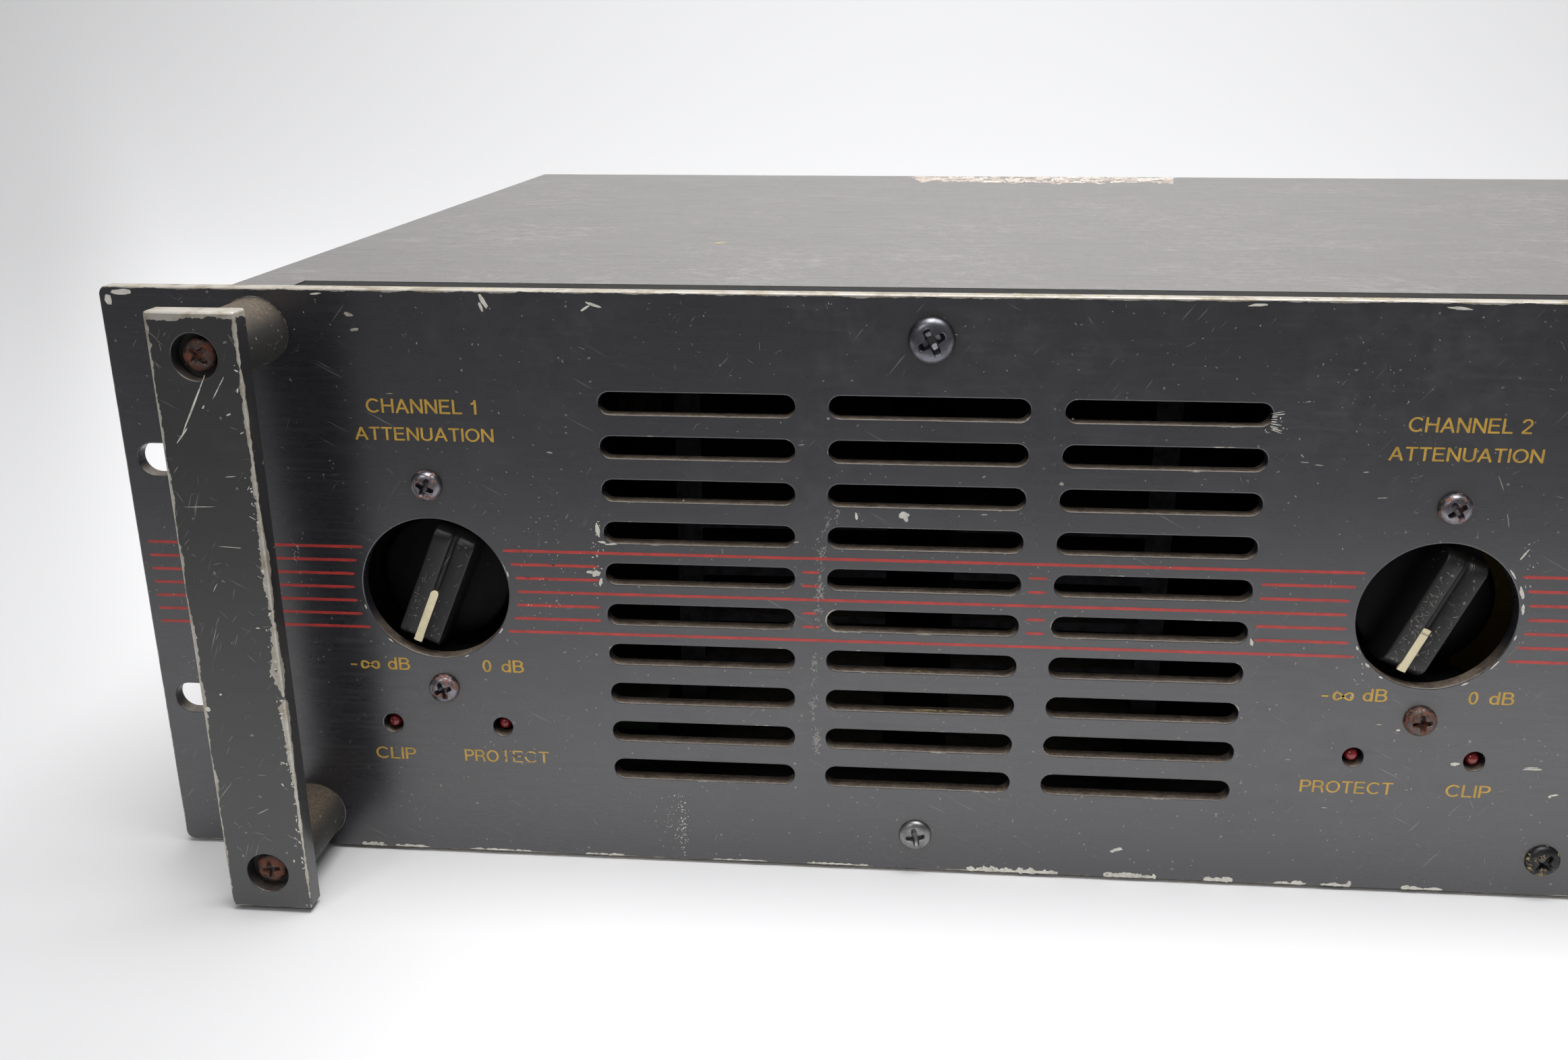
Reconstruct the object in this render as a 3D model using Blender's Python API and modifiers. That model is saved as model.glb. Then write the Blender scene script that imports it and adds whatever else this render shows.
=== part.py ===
"""Two-channel power amplifier for a 19 inch rack, three rack units high.

Every length below is in millimetres and is turned into metres by at() and mm().
Part coordinates: x from the centre line, y behind the panel's front face, z above the panel's
bottom edge.  In the world the front faces -Y, +X is to its right and the chassis stands on z = 0.
"""
import math

import bmesh
import bpy
from mathutils import Matrix, Vector

# Front panel: a 19 inch, three-unit rack panel
PANEL_W, PANEL_H, PANEL_T = 482.6, 132.5, 3.3
PANEL_LIFT = 0.8
PANEL_CORNER = 2.0
MID_Z = PANEL_H / 2
RACK_X, RACK_DZ = 232.6, 28.6
RACK_L, RACK_R = 11.5, 3.55
SCREW_DZ = 57.15

# Ventilation slots, in three columns of ten
VENT_X, VENT_PITCH_X, VENT_PITCH_Z = -67.3, 48.3, 9.525
VENT_L, VENT_R = 41.4, 2.54
VENT_ROWS = 10

# Attenuator knobs, one on each side of the slots
KNOB_DX, KNOB_HOLE_R = 107.2, 16.7
KNOB_SKIRT_R, KNOB_BAR_W, KNOB_BAR_L = 15.2, 9.4, 28.6
KNOB_FRONT, KNOB_SKIRT_FRONT, KNOB_BACK = 0.4, 8.6, 12.4
KNOB_REST_DEG = 23.0
BRACKET_SCREW_DZ = 24.0
LED_DX, LED_Z, LED_R, LED_HOLE_R = 12.8, 32.9, 1.5, 2.25

# Handles
HANDLE_X, HANDLE_W, HANDLE_H, HANDLE_T = 208.4, 18.0, 131.8, 4.9
HANDLE_REACH = 26.6
POST_R, POST_GAP = 6.9, 0.3

# Chassis
CHASSIS_W, CHASSIS_D, SHEET_T = 431.8, 277.0, 1.2
FIT_GAP = 0.3
STRIP_BACK, NOTCH_X = 9.6, 199.0
LIP_H = 14.0
REAR_T = 1.5

# Rear fittings
FAN_SIZE, FAN_T, FAN_BORE_R = 119.0, 25.0, 57.0
JACK_X, JACK_Z = -175.0, (45.0, 92.0)
TERMINAL_X, TERMINAL_Z = 82.0, 92.0
TERMINAL_W, TERMINAL_H, TERMINAL_D = 92.0, 22.0, 12.0
INLET_X, INLET_Z = 168.0, 34.0
BREAKER_X, BREAKER_Z = 168.0, 80.0

# Power switch, to the right of the second knob
SWITCH_X = 140.0
SWITCH_PIVOT_Y = 3.5

REAR_REACH = CHASSIS_D + TERMINAL_D
Y_MID = (REAR_REACH - HANDLE_REACH) / 2


def mm(*values):
    """Lengths in millimetres as a tuple of metres."""
    return tuple(value * 0.001 for value in values)


def at(x, y, z):
    """World position of a point given in part coordinates."""
    return Vector(mm(x, y - Y_MID, z + PANEL_LIFT))


# Scene and materials ------------------------------------------------------------------------

def clear_scene():
    """Remove whatever the opened file holds."""
    for item in list(bpy.data.objects):
        bpy.data.objects.remove(item, do_unlink=True)


def collection(name):
    """A new collection linked into the scene."""
    made = bpy.data.collections.new(name)
    bpy.context.scene.collection.children.link(made)
    return made


def material(name, colour, roughness, metallic=0.0):
    """A Principled material of one colour."""
    made = bpy.data.materials.new(name)
    made.use_nodes = True
    shader = made.node_tree.nodes["Principled BSDF"]
    shader.inputs["Base Color"].default_value = (*colour, 1.0)
    shader.inputs["Roughness"].default_value = roughness
    shader.inputs["Metallic"].default_value = metallic
    made.diffuse_color = (*colour, 1.0)
    return made


clear_scene()
PART = collection("power_amplifier")
CUTTERS = collection("cutters")

CHARCOAL = material("charcoal_paint", (0.055, 0.055, 0.060), 0.45)
COVER_PAINT = material("cover_paint", (0.10, 0.10, 0.105), 0.5)
ZINC = material("zinc_sheet", (0.55, 0.54, 0.52), 0.4, 1.0)
SCREW_STEEL = material("screw_steel", (0.36, 0.33, 0.32), 0.45, 1.0)
BLACK_PLASTIC = material("black_plastic", (0.018, 0.018, 0.019), 0.42)
RED_LENS = material("red_lens", (0.35, 0.01, 0.01), 0.25)
HEATSINK = material("heatsink_alloy", (0.45, 0.45, 0.46), 0.45, 1.0)
BOARD = material("circuit_board", (0.10, 0.16, 0.07), 0.6)
SLEEVE = material("capacitor_sleeve", (0.05, 0.08, 0.22), 0.4)
COPPER = material("transformer_winding", (0.42, 0.30, 0.08), 0.5)
BRASS = material("nickel_brass", (0.62, 0.58, 0.50), 0.35, 1.0)


# Modelling helpers --------------------------------------------------------------------------

def place(item, target=PART):
    """Move an object into one collection only."""
    for owner in list(item.users_collection):
        owner.objects.unlink(item)
    target.objects.link(item)


def finish(item, name, surface, origin=None):
    """Name an object, give it its material and put its origin where asked."""
    item.name = name
    item.data.name = name
    item.data.materials.clear()
    item.data.materials.append(surface)
    if origin is not None:
        bpy.context.view_layer.update()
        shift = item.matrix_world.inverted() @ origin
        item.data.transform(Matrix.Translation(-shift))
        item.location = origin
    place(item)
    return item


def block(low, high, bevel=0.0):
    """A box between two corners given in part coordinates, with its edges rounded."""
    size = [h - l for l, h in zip(low, high)]
    centre = at(*[(l + h) / 2 for l, h in zip(low, high)])
    bpy.ops.mesh.primitive_cube_add(size=1.0, location=centre)
    item = bpy.context.object
    item.data.transform(Matrix.Diagonal((*mm(*size), 1.0)))
    if bevel:
        rounding = item.modifiers.new("edges", "BEVEL")
        rounding.width = bevel * 0.001
        rounding.segments = 2
    return item


def rod(x, z, radius, front, back, sides=24):
    """A cylinder along Y between two depths."""
    centre = at(x, (front + back) / 2, z)
    bpy.ops.mesh.primitive_cylinder_add(vertices=sides, radius=radius * 0.001, location=centre,
                                        depth=(back - front) * 0.001, rotation=(math.pi / 2, 0, 0))
    return bpy.context.object


def pillar(x, y, radius, low, high, sides=24):
    """A cylinder that stands between two heights."""
    bpy.ops.mesh.primitive_cylinder_add(vertices=sides, radius=radius * 0.001,
                                        depth=(high - low) * 0.001, location=at(x, y, (low + high) / 2))
    return bpy.context.object


def turned(profile, x, z, sides=24, closed=False):
    """Turn a profile of (radius, depth) points, from front to back, about an axis along Y."""
    mesh = bpy.data.meshes.new("profile")
    points = [mm(radius, 0, -depth) for radius, depth in profile]
    edges = [(i, i + 1) for i in range(len(points) - 1)]
    if closed:
        edges.append((len(points) - 1, 0))
    mesh.from_pydata(points, edges, [])
    item = bpy.data.objects.new("turned", mesh)
    PART.objects.link(item)
    item.location = at(x, 0, z)
    item.rotation_euler = (math.pi / 2, 0, 0)
    spin = item.modifiers.new("turn", "SCREW")
    spin.steps = sides
    spin.render_steps = sides
    spin.use_merge_vertices = True
    spin.merge_threshold = 0.00001
    return item


def combine(item, others, operation):
    """Cut the others out of an object, or join them to it."""
    for other in others:
        place(other, CUTTERS)
        other.hide_render = True
        other.display_type = "WIRE"
        step = item.modifiers.new(operation.lower(), "BOOLEAN")
        step.operation = operation
        step.solver = "EXACT"
        step.object = other
    return item


def arc(cx, cz, radius, start, stop, count):
    """Points along an arc, angles in degrees."""
    step = (stop - start) / (count - 1)
    angles = [math.radians(start + step * i) for i in range(count)]
    return [(cx + radius * math.cos(a), cz + radius * math.sin(a)) for a in angles]


def circle(cx, cz, radius, count):
    """A closed round outline."""
    return arc(cx, cz, radius, 0, 360 * (count - 1) / count, count)


def stadium(cx, cz, length, radius, count=5):
    """A slot with round ends, lying along the first axis."""
    half = length / 2 - radius
    return arc(cx + half, cz, radius, -90, 90, count) + arc(cx - half, cz, radius, 90, 270, count)


def rectangle(low_x, low_z, high_x, high_z, radius=0.0, count=4):
    """A rectangle, with round corners when a radius is given."""
    if not radius:
        return [(low_x, low_z), (high_x, low_z), (high_x, high_z), (low_x, high_z)]
    corners = ((high_x, low_z, -90), (high_x, high_z, 0), (low_x, high_z, 90), (low_x, low_z, 180))
    outline = []
    for corner_x, corner_z, start in corners:
        cx = corner_x - radius if corner_x == high_x else corner_x + radius
        cz = corner_z - radius if corner_z == high_z else corner_z + radius
        outline += arc(cx, cz, radius, start, start + 90, count)
    return outline


def flat(outlines, thickness, centre, turn):
    """Extrude flat outlines: the first is the edge and the rest are holes."""
    curve = bpy.data.curves.new("outline", "CURVE")
    curve.dimensions = "2D"
    curve.fill_mode = "BOTH"
    curve.extrude = thickness * 0.0005
    for outline in outlines:
        spline = curve.splines.new("POLY")
        spline.points.add(len(outline) - 1)
        for point, (u, v) in zip(spline.points, outline):
            point.co = (*mm(u, v), 0, 1)
        spline.use_cyclic_u = True
    item = bpy.data.objects.new("flat", curve)
    PART.objects.link(item)
    item.location = centre
    item.rotation_euler = turn
    return item


def upright(outlines, front, back):
    """Outlines in x and z, extruded along Y."""
    return flat(outlines, back - front, at(0, (front + back) / 2, 0), (math.pi / 2, 0, 0))


def sideways(outlines, left, right):
    """Outlines in y and z, extruded along X."""
    centre = at((left + right) / 2, 0, 0)
    return flat(outlines, right - left, centre, (math.pi / 2, 0, math.pi / 2))


def meshed(item):
    """Turn a curve object into a mesh object, so that it can be cut."""
    bpy.context.view_layer.update()
    graph = bpy.context.evaluated_depsgraph_get()
    mesh = bpy.data.meshes.new_from_object(item.evaluated_get(graph))
    work = bmesh.new()
    work.from_mesh(mesh)
    bmesh.ops.remove_doubles(work, verts=work.verts, dist=0.000001)
    work.to_mesh(mesh)
    work.free()
    solid = bpy.data.objects.new("solid", mesh)
    solid.matrix_world = item.matrix_world
    PART.objects.link(solid)
    bpy.data.objects.remove(item, do_unlink=True)
    return solid


# Front --------------------------------------------------------------------------------------

SIDES = {"left": -1, "right": 1}
LEVELS = {"lower": -1, "upper": 1}
KNOBS = {side: VENT_X + sign * KNOB_DX for side, sign in SIDES.items()}
PANEL_SCREWS = {
    "top_middle": (VENT_X, MID_Z + SCREW_DZ, 4.85, 2.3),
    "bottom_middle": (VENT_X, MID_Z - SCREW_DZ, 3.75, 1.7),
    "top_right": (70.9, MID_Z + SCREW_DZ, 3.75, 1.7),
    "bottom_right": (70.9, MID_Z - SCREW_DZ, 3.75, 1.7),
}


def led_places():
    """Name and x of each lamp."""
    for side, x in KNOBS.items():
        yield f"{side}_knob_left", x - LED_DX
        yield f"{side}_knob_right", x + LED_DX


def small_holes(radius_gain=0.0):
    """Holes that the panel and the frame behind it share: lamps and screws."""
    holes = [circle(x, LED_Z, LED_HOLE_R + radius_gain, 12) for _, x in led_places()]
    for x, z, _, _ in PANEL_SCREWS.values():
        holes.append(circle(x, z, 2.6 + radius_gain, 10))
    for x in KNOBS.values():
        for sign in LEVELS.values():
            holes.append(circle(x, MID_Z + sign * BRACKET_SCREW_DZ, 2.1 + radius_gain, 10))
    return holes


def front_panel():
    """The rack panel with its slots and holes."""
    half = PANEL_W / 2
    outlines = [rectangle(-half, 0, half, PANEL_H, PANEL_CORNER)]
    for side in SIDES.values():
        for level in LEVELS.values():
            outlines.append(stadium(side * RACK_X, MID_Z + level * RACK_DZ, RACK_L, RACK_R, 7))
            outlines.append(circle(side * HANDLE_X, MID_Z + level * SCREW_DZ, 2.2, 10))
    for column in (-1, 0, 1):
        for row in range(VENT_ROWS):
            z = MID_Z + (row - (VENT_ROWS - 1) / 2) * VENT_PITCH_Z
            outlines.append(stadium(VENT_X + column * VENT_PITCH_X, z, VENT_L, VENT_R))
    outlines += [circle(x, MID_Z, KNOB_HOLE_R, 32) for x in KNOBS.values()]
    outlines += small_holes()
    outlines.append(rectangle(SWITCH_X - 11, MID_Z - 15, SWITCH_X + 11, MID_Z + 15))
    finish(upright(outlines, 0, PANEL_T), "front_panel", CHARCOAL)


def handles():
    """A flat bar on two round posts at each end of the panel, held by long screws."""
    bar_back = HANDLE_T - HANDLE_REACH
    for side, sign in SIDES.items():
        x = sign * HANDLE_X
        low = (x - HANDLE_W / 2, -HANDLE_REACH, MID_Z - HANDLE_H / 2)
        high = (x + HANDLE_W / 2, bar_back, MID_Z + HANDLE_H / 2)
        bar = block(low, high, bevel=0.7)
        for level, rise in LEVELS.items():
            z = MID_Z + rise * SCREW_DZ
            wide = rod(x, z, 4.6, -HANDLE_REACH - 1, -HANDLE_REACH + 1.8)
            narrow = rod(x, z, 2.2, -HANDLE_REACH - 1, bar_back + 1, 12)
            combine(bar, (wide, narrow), "DIFFERENCE")
            front, back = bar_back + POST_GAP, -POST_GAP
            tube = [(POST_R, front), (POST_R, back), (2.4, back), (2.4, front)]
            finish(turned(tube, x, z, 24, closed=True), f"handle_post_{side}_{level}", CHARCOAL)
            head = -HANDLE_REACH + 0.3
            shank = [(0, head), (2.2, head + 0.1), (3.2, head + 0.5), (3.2, head + 1.3), (1.8, head + 1.4),
                     (1.8, 12.0), (0, 12.0)]
            finish(turned(shank, x, z, 12), f"handle_screw_{side}_{level}", SCREW_STEEL)
        finish(bar, f"handle_bar_{side}", CHARCOAL)


def machine_screw(name, x, z, radius, rise, length):
    """A domed screw: its head stands on the panel and its shank goes back through it."""
    dome = [(0, -rise), (radius * 0.55, -rise * 0.86), (radius * 0.88, -rise * 0.5), (radius, -FIT_GAP),
            (1.8, -FIT_GAP), (1.8, length), (0, length)]
    finish(turned(dome, x, z, 12), name, SCREW_STEEL)


def knobs():
    """Recessed pointer knobs, their shafts, controls, straps and screws."""
    for side, x in KNOBS.items():
        axis = at(x, KNOB_BACK, MID_Z)
        skirt = rod(x, MID_Z, KNOB_SKIRT_R, KNOB_SKIRT_FRONT, KNOB_BACK, 40)
        bar = block((x - KNOB_BAR_W / 2, KNOB_FRONT, MID_Z - KNOB_BAR_L / 2),
                    (x + KNOB_BAR_W / 2, KNOB_SKIRT_FRONT + 1, MID_Z + KNOB_BAR_L / 2), bevel=0.6)
        bar.rotation_euler = (0, math.radians(KNOB_REST_DEG), 0)
        combine(skirt, (bar,), "UNION")
        finish(skirt, f"knob_{side}", BLACK_PLASTIC, axis)
        shaft = rod(x, MID_Z, 2.9, KNOB_BACK + FIT_GAP, 24.5, 16)
        finish(shaft, f"knob_shaft_{side}", BRASS, axis)
        control = [(4.5, 14), (4.5, 18.7), (8, 18.7), (8, 27), (0, 27), (0, 25), (3.3, 25), (3.3, 14)]
        body = turned(control, x, MID_Z, 20, closed=True)
        finish(body, f"attenuator_{side}", ZINC)
        knob_strap(side, x)
        for level, sign in LEVELS.items():
            z = MID_Z + sign * BRACKET_SCREW_DZ
            machine_screw(f"strap_screw_{side}_{level}", x, z, 3.5, 2.2, 9)


def knob_strap(side, x):
    """A hat-shaped strap behind the panel that carries one control."""
    foot, web, wide, narrow = 5.1, 17.0, 28.5, 18.5
    outline = [(foot, wide), (foot, narrow - SHEET_T), (web, narrow - SHEET_T), (web, SHEET_T - narrow),
               (foot, SHEET_T - narrow), (foot, -wide), (foot + SHEET_T, -wide),
               (foot + SHEET_T, -narrow), (web + SHEET_T, -narrow), (web + SHEET_T, narrow),
               (foot + SHEET_T, narrow), (foot + SHEET_T, wide)]
    strap = sideways([[(y, z + MID_Z) for y, z in outline]], x - 11, x + 11)
    strap = meshed(strap)
    holes = [rod(x, MID_Z, 4.8, web - 2, web + 3, 16)]
    for sign in LEVELS.values():
        holes.append(rod(x, MID_Z + sign * BRACKET_SCREW_DZ, 2.2, foot - 1, foot + 3, 10))
    combine(strap, holes, "DIFFERENCE")
    finish(strap, f"knob_strap_{side}", ZINC)


def lamps():
    """Four small red lamps set in the panel."""
    for name, x in led_places():
        dome = [(0, 0.5), (0.9, 0.75), (LED_R, 1.6), (LED_R, 7.0), (0, 7.0)]
        finish(turned(dome, x, LED_Z, 12), f"lamp_{name}", RED_LENS)


def power_switch():
    """A rocker in a framed housing; it tips about a level axis."""
    x = SWITCH_X
    housing = block((x - 10.7, -0.5, MID_Z - 14.7), (x + 10.7, 20, MID_Z + 14.7))
    rim = block((x - 12.5, -2.3, MID_Z - 17), (x + 12.5, -FIT_GAP, MID_Z + 17), bevel=0.5)
    hollow = block((x - 9.4, -4, MID_Z - 13.4), (x + 9.4, 15, MID_Z + 13.4))
    combine(housing, (rim,), "UNION")
    combine(housing, (hollow,), "DIFFERENCE")
    finish(housing, "switch_housing", BLACK_PLASTIC)
    outline = [(-6.1, -12), (-4.0, 0), (-6.1, 12), (2, 12), (6, 4), (6, -4), (2, -12)]
    tilt = math.radians(10)
    turned_outline = [(SWITCH_PIVOT_Y + y * math.cos(tilt) - z * math.sin(tilt),
                       MID_Z + y * math.sin(tilt) + z * math.cos(tilt)) for y, z in outline]
    rocker = meshed(sideways([turned_outline], x - 9, x + 9))
    finish(rocker, "switch_rocker", BLACK_PLASTIC, at(x, SWITCH_PIVOT_Y, MID_Z))


# Case ---------------------------------------------------------------------------------------

def front_frame():
    """The folded frame behind the panel: its upper fold shows as a strip at the panel's top edge."""
    half, front = CHASSIS_W / 2 - SHEET_T - FIT_GAP, PANEL_T + FIT_GAP
    low, high = 1.0, PANEL_H - 0.2
    window = rectangle(VENT_X - 75, MID_Z - 51, VENT_X + 75, MID_Z + 51, 4)
    reach, shoulder = NOTCH_X + 1, high - SHEET_T - FIT_GAP
    edge = [(-half, low), (half, low), (half, shoulder), (reach, shoulder), (reach, high), (-reach, high),
            (-reach, shoulder), (-half, shoulder)]
    outlines = [edge, window]
    outlines += [circle(x, MID_Z, KNOB_HOLE_R + 0.9, 32) for x in KNOBS.values()]
    outlines += small_holes(0.2)
    outlines.append(rectangle(SWITCH_X - 11, MID_Z - 15, SWITCH_X + 11, MID_Z + 15))
    for sign in SIDES.values():
        for level in LEVELS.values():
            outlines.append(circle(sign * HANDLE_X, MID_Z + level * SCREW_DZ, 2.6, 10))
    web = meshed(upright(outlines, front, front + SHEET_T))
    upper = block((-reach, front + 0.4, high - SHEET_T), (reach, STRIP_BACK, high))
    lower = block((-reach, front + 0.4, low), (reach, STRIP_BACK + 4, low + SHEET_T))
    combine(web, (upper, lower), "UNION")
    finish(web, "front_frame", ZINC)


def channel(half, low, high, thickness, radius, flip):
    """Outline of a sheet folded twice, open at the bottom, or at the top when flipped."""
    outer = arc(half - radius, high - radius, radius, 0, 90, 4)
    inner = arc(half - radius, high - radius, radius - thickness, 90, 0, 4)
    right = [(half, low)] + outer
    left = [(-x, z) for x, z in reversed(right)]
    inside = [(-x, z) for x, z in reversed(inner + [(half - thickness, low)])]
    outline = right + left + inside + inner + [(half - thickness, low)]
    if flip:
        outline = [(x, low + high - z) for x, z in outline]
    return outline


def case():
    """The bottom tray, the cover that wraps over it and the rear plate."""
    half, front = CHASSIS_W / 2, PANEL_T + FIT_GAP
    tray_half = half - SHEET_T - FIT_GAP
    tray_low = -PANEL_LIFT
    tray_outline = channel(tray_half, tray_low, LIP_H, SHEET_T, 2.0, flip=True)
    tray = meshed(upright([tray_outline], front, CHASSIS_D - 0.3))
    corner_cuts = [block((s * tray_half - 3, 0, 0.7), (s * tray_half + 3, 6, LIP_H + 1)) for s in (-1, 1)]
    combine(tray, corner_cuts, "DIFFERENCE")
    finish(tray, "bottom_tray", COVER_PAINT)

    high = PANEL_H - 0.2
    cover = meshed(upright([channel(half, 1.0, high, SHEET_T, 2.0, flip=False)], front, CHASSIS_D))
    notch = block((-NOTCH_X - 1.8, front - 1, high - 4), (NOTCH_X + 1.8, STRIP_BACK + 0.8, high + 1))
    web_room = block((-half + 1.3, front - 1, high - 4), (half - 1.3, front + SHEET_T + 0.3, high - SHEET_T))
    combine(cover, (notch, web_room), "DIFFERENCE")
    finish(cover, "top_cover", COVER_PAINT)

    low_x = tray_half - SHEET_T - FIT_GAP
    outlines = [rectangle(-low_x, 1.0, low_x, high - SHEET_T - FIT_GAP)]
    outlines.append(circle(VENT_X, MID_Z, FAN_BORE_R, 36))
    outlines += [circle(JACK_X, z, 5.8, 16) for z in JACK_Z]
    outlines.append(rectangle(INLET_X - 14.3, INLET_Z - 10.8, INLET_X + 14.3, INLET_Z + 10.8))
    outlines.append(circle(BREAKER_X, BREAKER_Z, 6.8, 16))
    rear = upright(outlines, CHASSIS_D - FIT_GAP - REAR_T, CHASSIS_D - FIT_GAP)
    finish(rear, "rear_plate", COVER_PAINT)
    for side, sign in SIDES.items():
        for place_name, y in (("front", 40.0), ("rear", 240.0)):
            cover_screw(f"cover_screw_{side}_{place_name}", sign, y)


def cover_screw(name, sign, y):
    """A small domed screw on the side of the cover."""
    profile = [(0, -2.0), (2.0, -1.7), (3.1, -0.9), (3.3, -FIT_GAP), (0, -FIT_GAP)]
    item = turned(profile, 0, 0, 12)
    item.location = at(sign * CHASSIS_W / 2, y, 22)
    item.rotation_euler = (0, sign * math.pi / 2, 0)
    finish(item, name, SCREW_STEEL)


# Cooling ------------------------------------------------------------------------------------

def heatsinks():
    """Two finned extrusions that face each other across the air tunnel."""
    fins, pitch, reach, base = 10, 12.0, 50.0, 6.0
    for side, sign in SIDES.items():
        back = 58.0
        outline = [(back, -58), (back, 58)]
        for index in range(fins):
            z = 54 - index * pitch
            outline += [(back - base, z + 1.2), (back - reach, z + 0.8), (back - reach, z - 0.8),
                        (back - base, z - 1.2)]
        outline = [(VENT_X + sign * x, MID_Z + z) for x, z in outline]
        finish(upright([outline], 32, 235), f"heatsink_{side}", HEATSINK)


def fan():
    """Fan frame with its bearing struts, the turning rotor and the guard outside."""
    back = CHASSIS_D - FIT_GAP - REAR_T - FIT_GAP
    front = back - FAN_T
    half = FAN_SIZE / 2
    edge = rectangle(VENT_X - half, MID_Z - half, VENT_X + half, MID_Z + half, 6)
    frame = meshed(upright([edge, circle(VENT_X, MID_Z, FAN_BORE_R, 40)], front, back))
    parts = [rod(VENT_X, MID_Z, 21, back - 4, back, 28)]
    for angle in (45, 135):
        strut = block((VENT_X - half, back - 4, MID_Z - 2.5), (VENT_X + half, back, MID_Z + 2.5))
        strut.rotation_euler = (0, math.radians(angle), 0)
        parts.append(strut)
    combine(frame, parts, "UNION")
    finish(frame, "fan_frame", BLACK_PLASTIC)

    axis = at(VENT_X, (front + back) / 2, MID_Z)
    hub = rod(VENT_X, MID_Z, 20, front + 1.5, back - 4.8, 28)
    blades = []
    for index in range(7):
        blade = block((VENT_X + 17, -9.5, MID_Z - 0.9), (VENT_X + 54, 9.5, MID_Z + 0.9))
        blade.data.transform(Matrix.Translation(mm(35.5, 0, 0)) @ Matrix.Rotation(math.radians(52), 4, "X"))
        blade.location = at(VENT_X, front + 10.5, MID_Z)
        blade.rotation_euler = (0, 2 * math.pi * index / 7, 0)
        blades.append(blade)
    combine(hub, blades, "UNION")
    finish(hub, "fan_rotor", BLACK_PLASTIC, axis)
    fan_guard()


def fan_guard():
    """A pierced guard: rings and four spokes cut from one plate."""
    outlines = [circle(VENT_X, MID_Z, 60, 40)]
    for inner, outer in ((9, 20), (23, 36), (39, 54)):
        for quarter in range(4):
            inset_out = math.degrees(1.6 / outer)
            inset_in = math.degrees(1.6 / inner)
            start = 45 + quarter * 90
            window = arc(VENT_X, MID_Z, outer, start + inset_out, start + 90 - inset_out, 8)
            window += arc(VENT_X, MID_Z, inner, start + 90 - inset_in, start + inset_in, 5)
            outlines.append(window)
    finish(upright(outlines, CHASSIS_D + FIT_GAP, CHASSIS_D + 1.8), "fan_guard", ZINC)


# Inside -------------------------------------------------------------------------------------

def supply():
    """Mains transformer, filter capacitors and the boards."""
    x, y = 128.0, 118.0
    ring = [(58, 12), (62, 20), (62, 62), (58, 70), (22, 70), (18, 62), (18, 20), (22, 12)]
    toroid = turned([(radius, -height) for radius, height in reversed(ring)], 0, 0, 32, closed=True)
    toroid.rotation_euler = (0, 0, 0)
    toroid.location = at(x, y, 0)
    toroid.data.flip_normals()
    finish(toroid, "transformer", COPPER)
    bolt = pillar(x, y, 9, 2, 76, 16)
    combine(bolt, (pillar(x, y, 24, 71, 74, 24),), "UNION")
    finish(bolt, "transformer_bolt", SCREW_STEEL)
    finish(block((12, 196, 10), (205, 262, 11.6)), "supply_board", BOARD)
    for index, cap_x in enumerate((34.0, 74.0, 114.0)):
        can = pillar(cap_x, 229, 17, 11.9, 82, 24)
        finish(can, f"capacitor_{index + 1}", SLEEVE)
    finish(block((-206, 45, 10), (-134, 240, 11.6)), "input_board", BOARD)


# Rear ---------------------------------------------------------------------------------------

def rear_fittings():
    """Input jacks, output terminals, mains inlet and circuit breaker."""
    rear = CHASSIS_D
    inside = CHASSIS_D - FIT_GAP - REAR_T - FIT_GAP
    for index, z in enumerate(JACK_Z):
        jack = [(9, inside - 22), (9, inside), (5.5, inside), (5.5, rear + FIT_GAP), (8, rear + FIT_GAP),
                (8, rear + 3), (5.5, rear + 3.2), (5.5, rear + 6), (3.4, rear + 6), (3.4, inside - 20),
                (0, inside - 20), (0, inside - 22)]
        finish(turned(jack, JACK_X, z, 20, closed=True), f"input_jack_{index + 1}", BRASS)
    terminals(rear)

    x, z = INLET_X, INLET_Z
    body = block((x - 14, inside - 18, z - 10.5), (x + 14, rear + 1, z + 10.5))
    rim = block((x - 17, rear + FIT_GAP, z - 13.5), (x + 17, rear + 3.5, z + 13.5), bevel=0.8)
    hollow = block((x - 12, inside - 15, z - 8.2), (x + 12, rear + 8, z + 8.2))
    blades = [block((bx - 1, inside - 17, bz - 2), (bx + 1, rear - 2, bz + 2))
              for bx, bz in ((x - 7, z - 1.5), (x, z + 2.5), (x + 7, z - 1.5))]
    combine(body, (rim,), "UNION")
    combine(body, (hollow,), "DIFFERENCE")
    combine(body, blades, "UNION")
    finish(body, "mains_inlet", BLACK_PLASTIC)

    x, z = BREAKER_X, BREAKER_Z
    sleeve = [(10, inside - 24), (10, inside), (6.4, inside), (6.4, rear + FIT_GAP), (9, rear + FIT_GAP),
              (9, rear + 2.6), (4.9, rear + 2.6), (4.9, inside - 20), (0, inside - 20), (0, inside - 24)]
    finish(turned(sleeve, x, z, 20, closed=True), "breaker_body", BLACK_PLASTIC)
    button = [(0, inside - 15), (4.4, inside - 15), (4.4, rear + 6.4), (3.8, rear + 7), (0, rear + 7)]
    finish(turned(button, x, z, 16), "breaker_button", BLACK_PLASTIC, at(x, rear, z))


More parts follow.
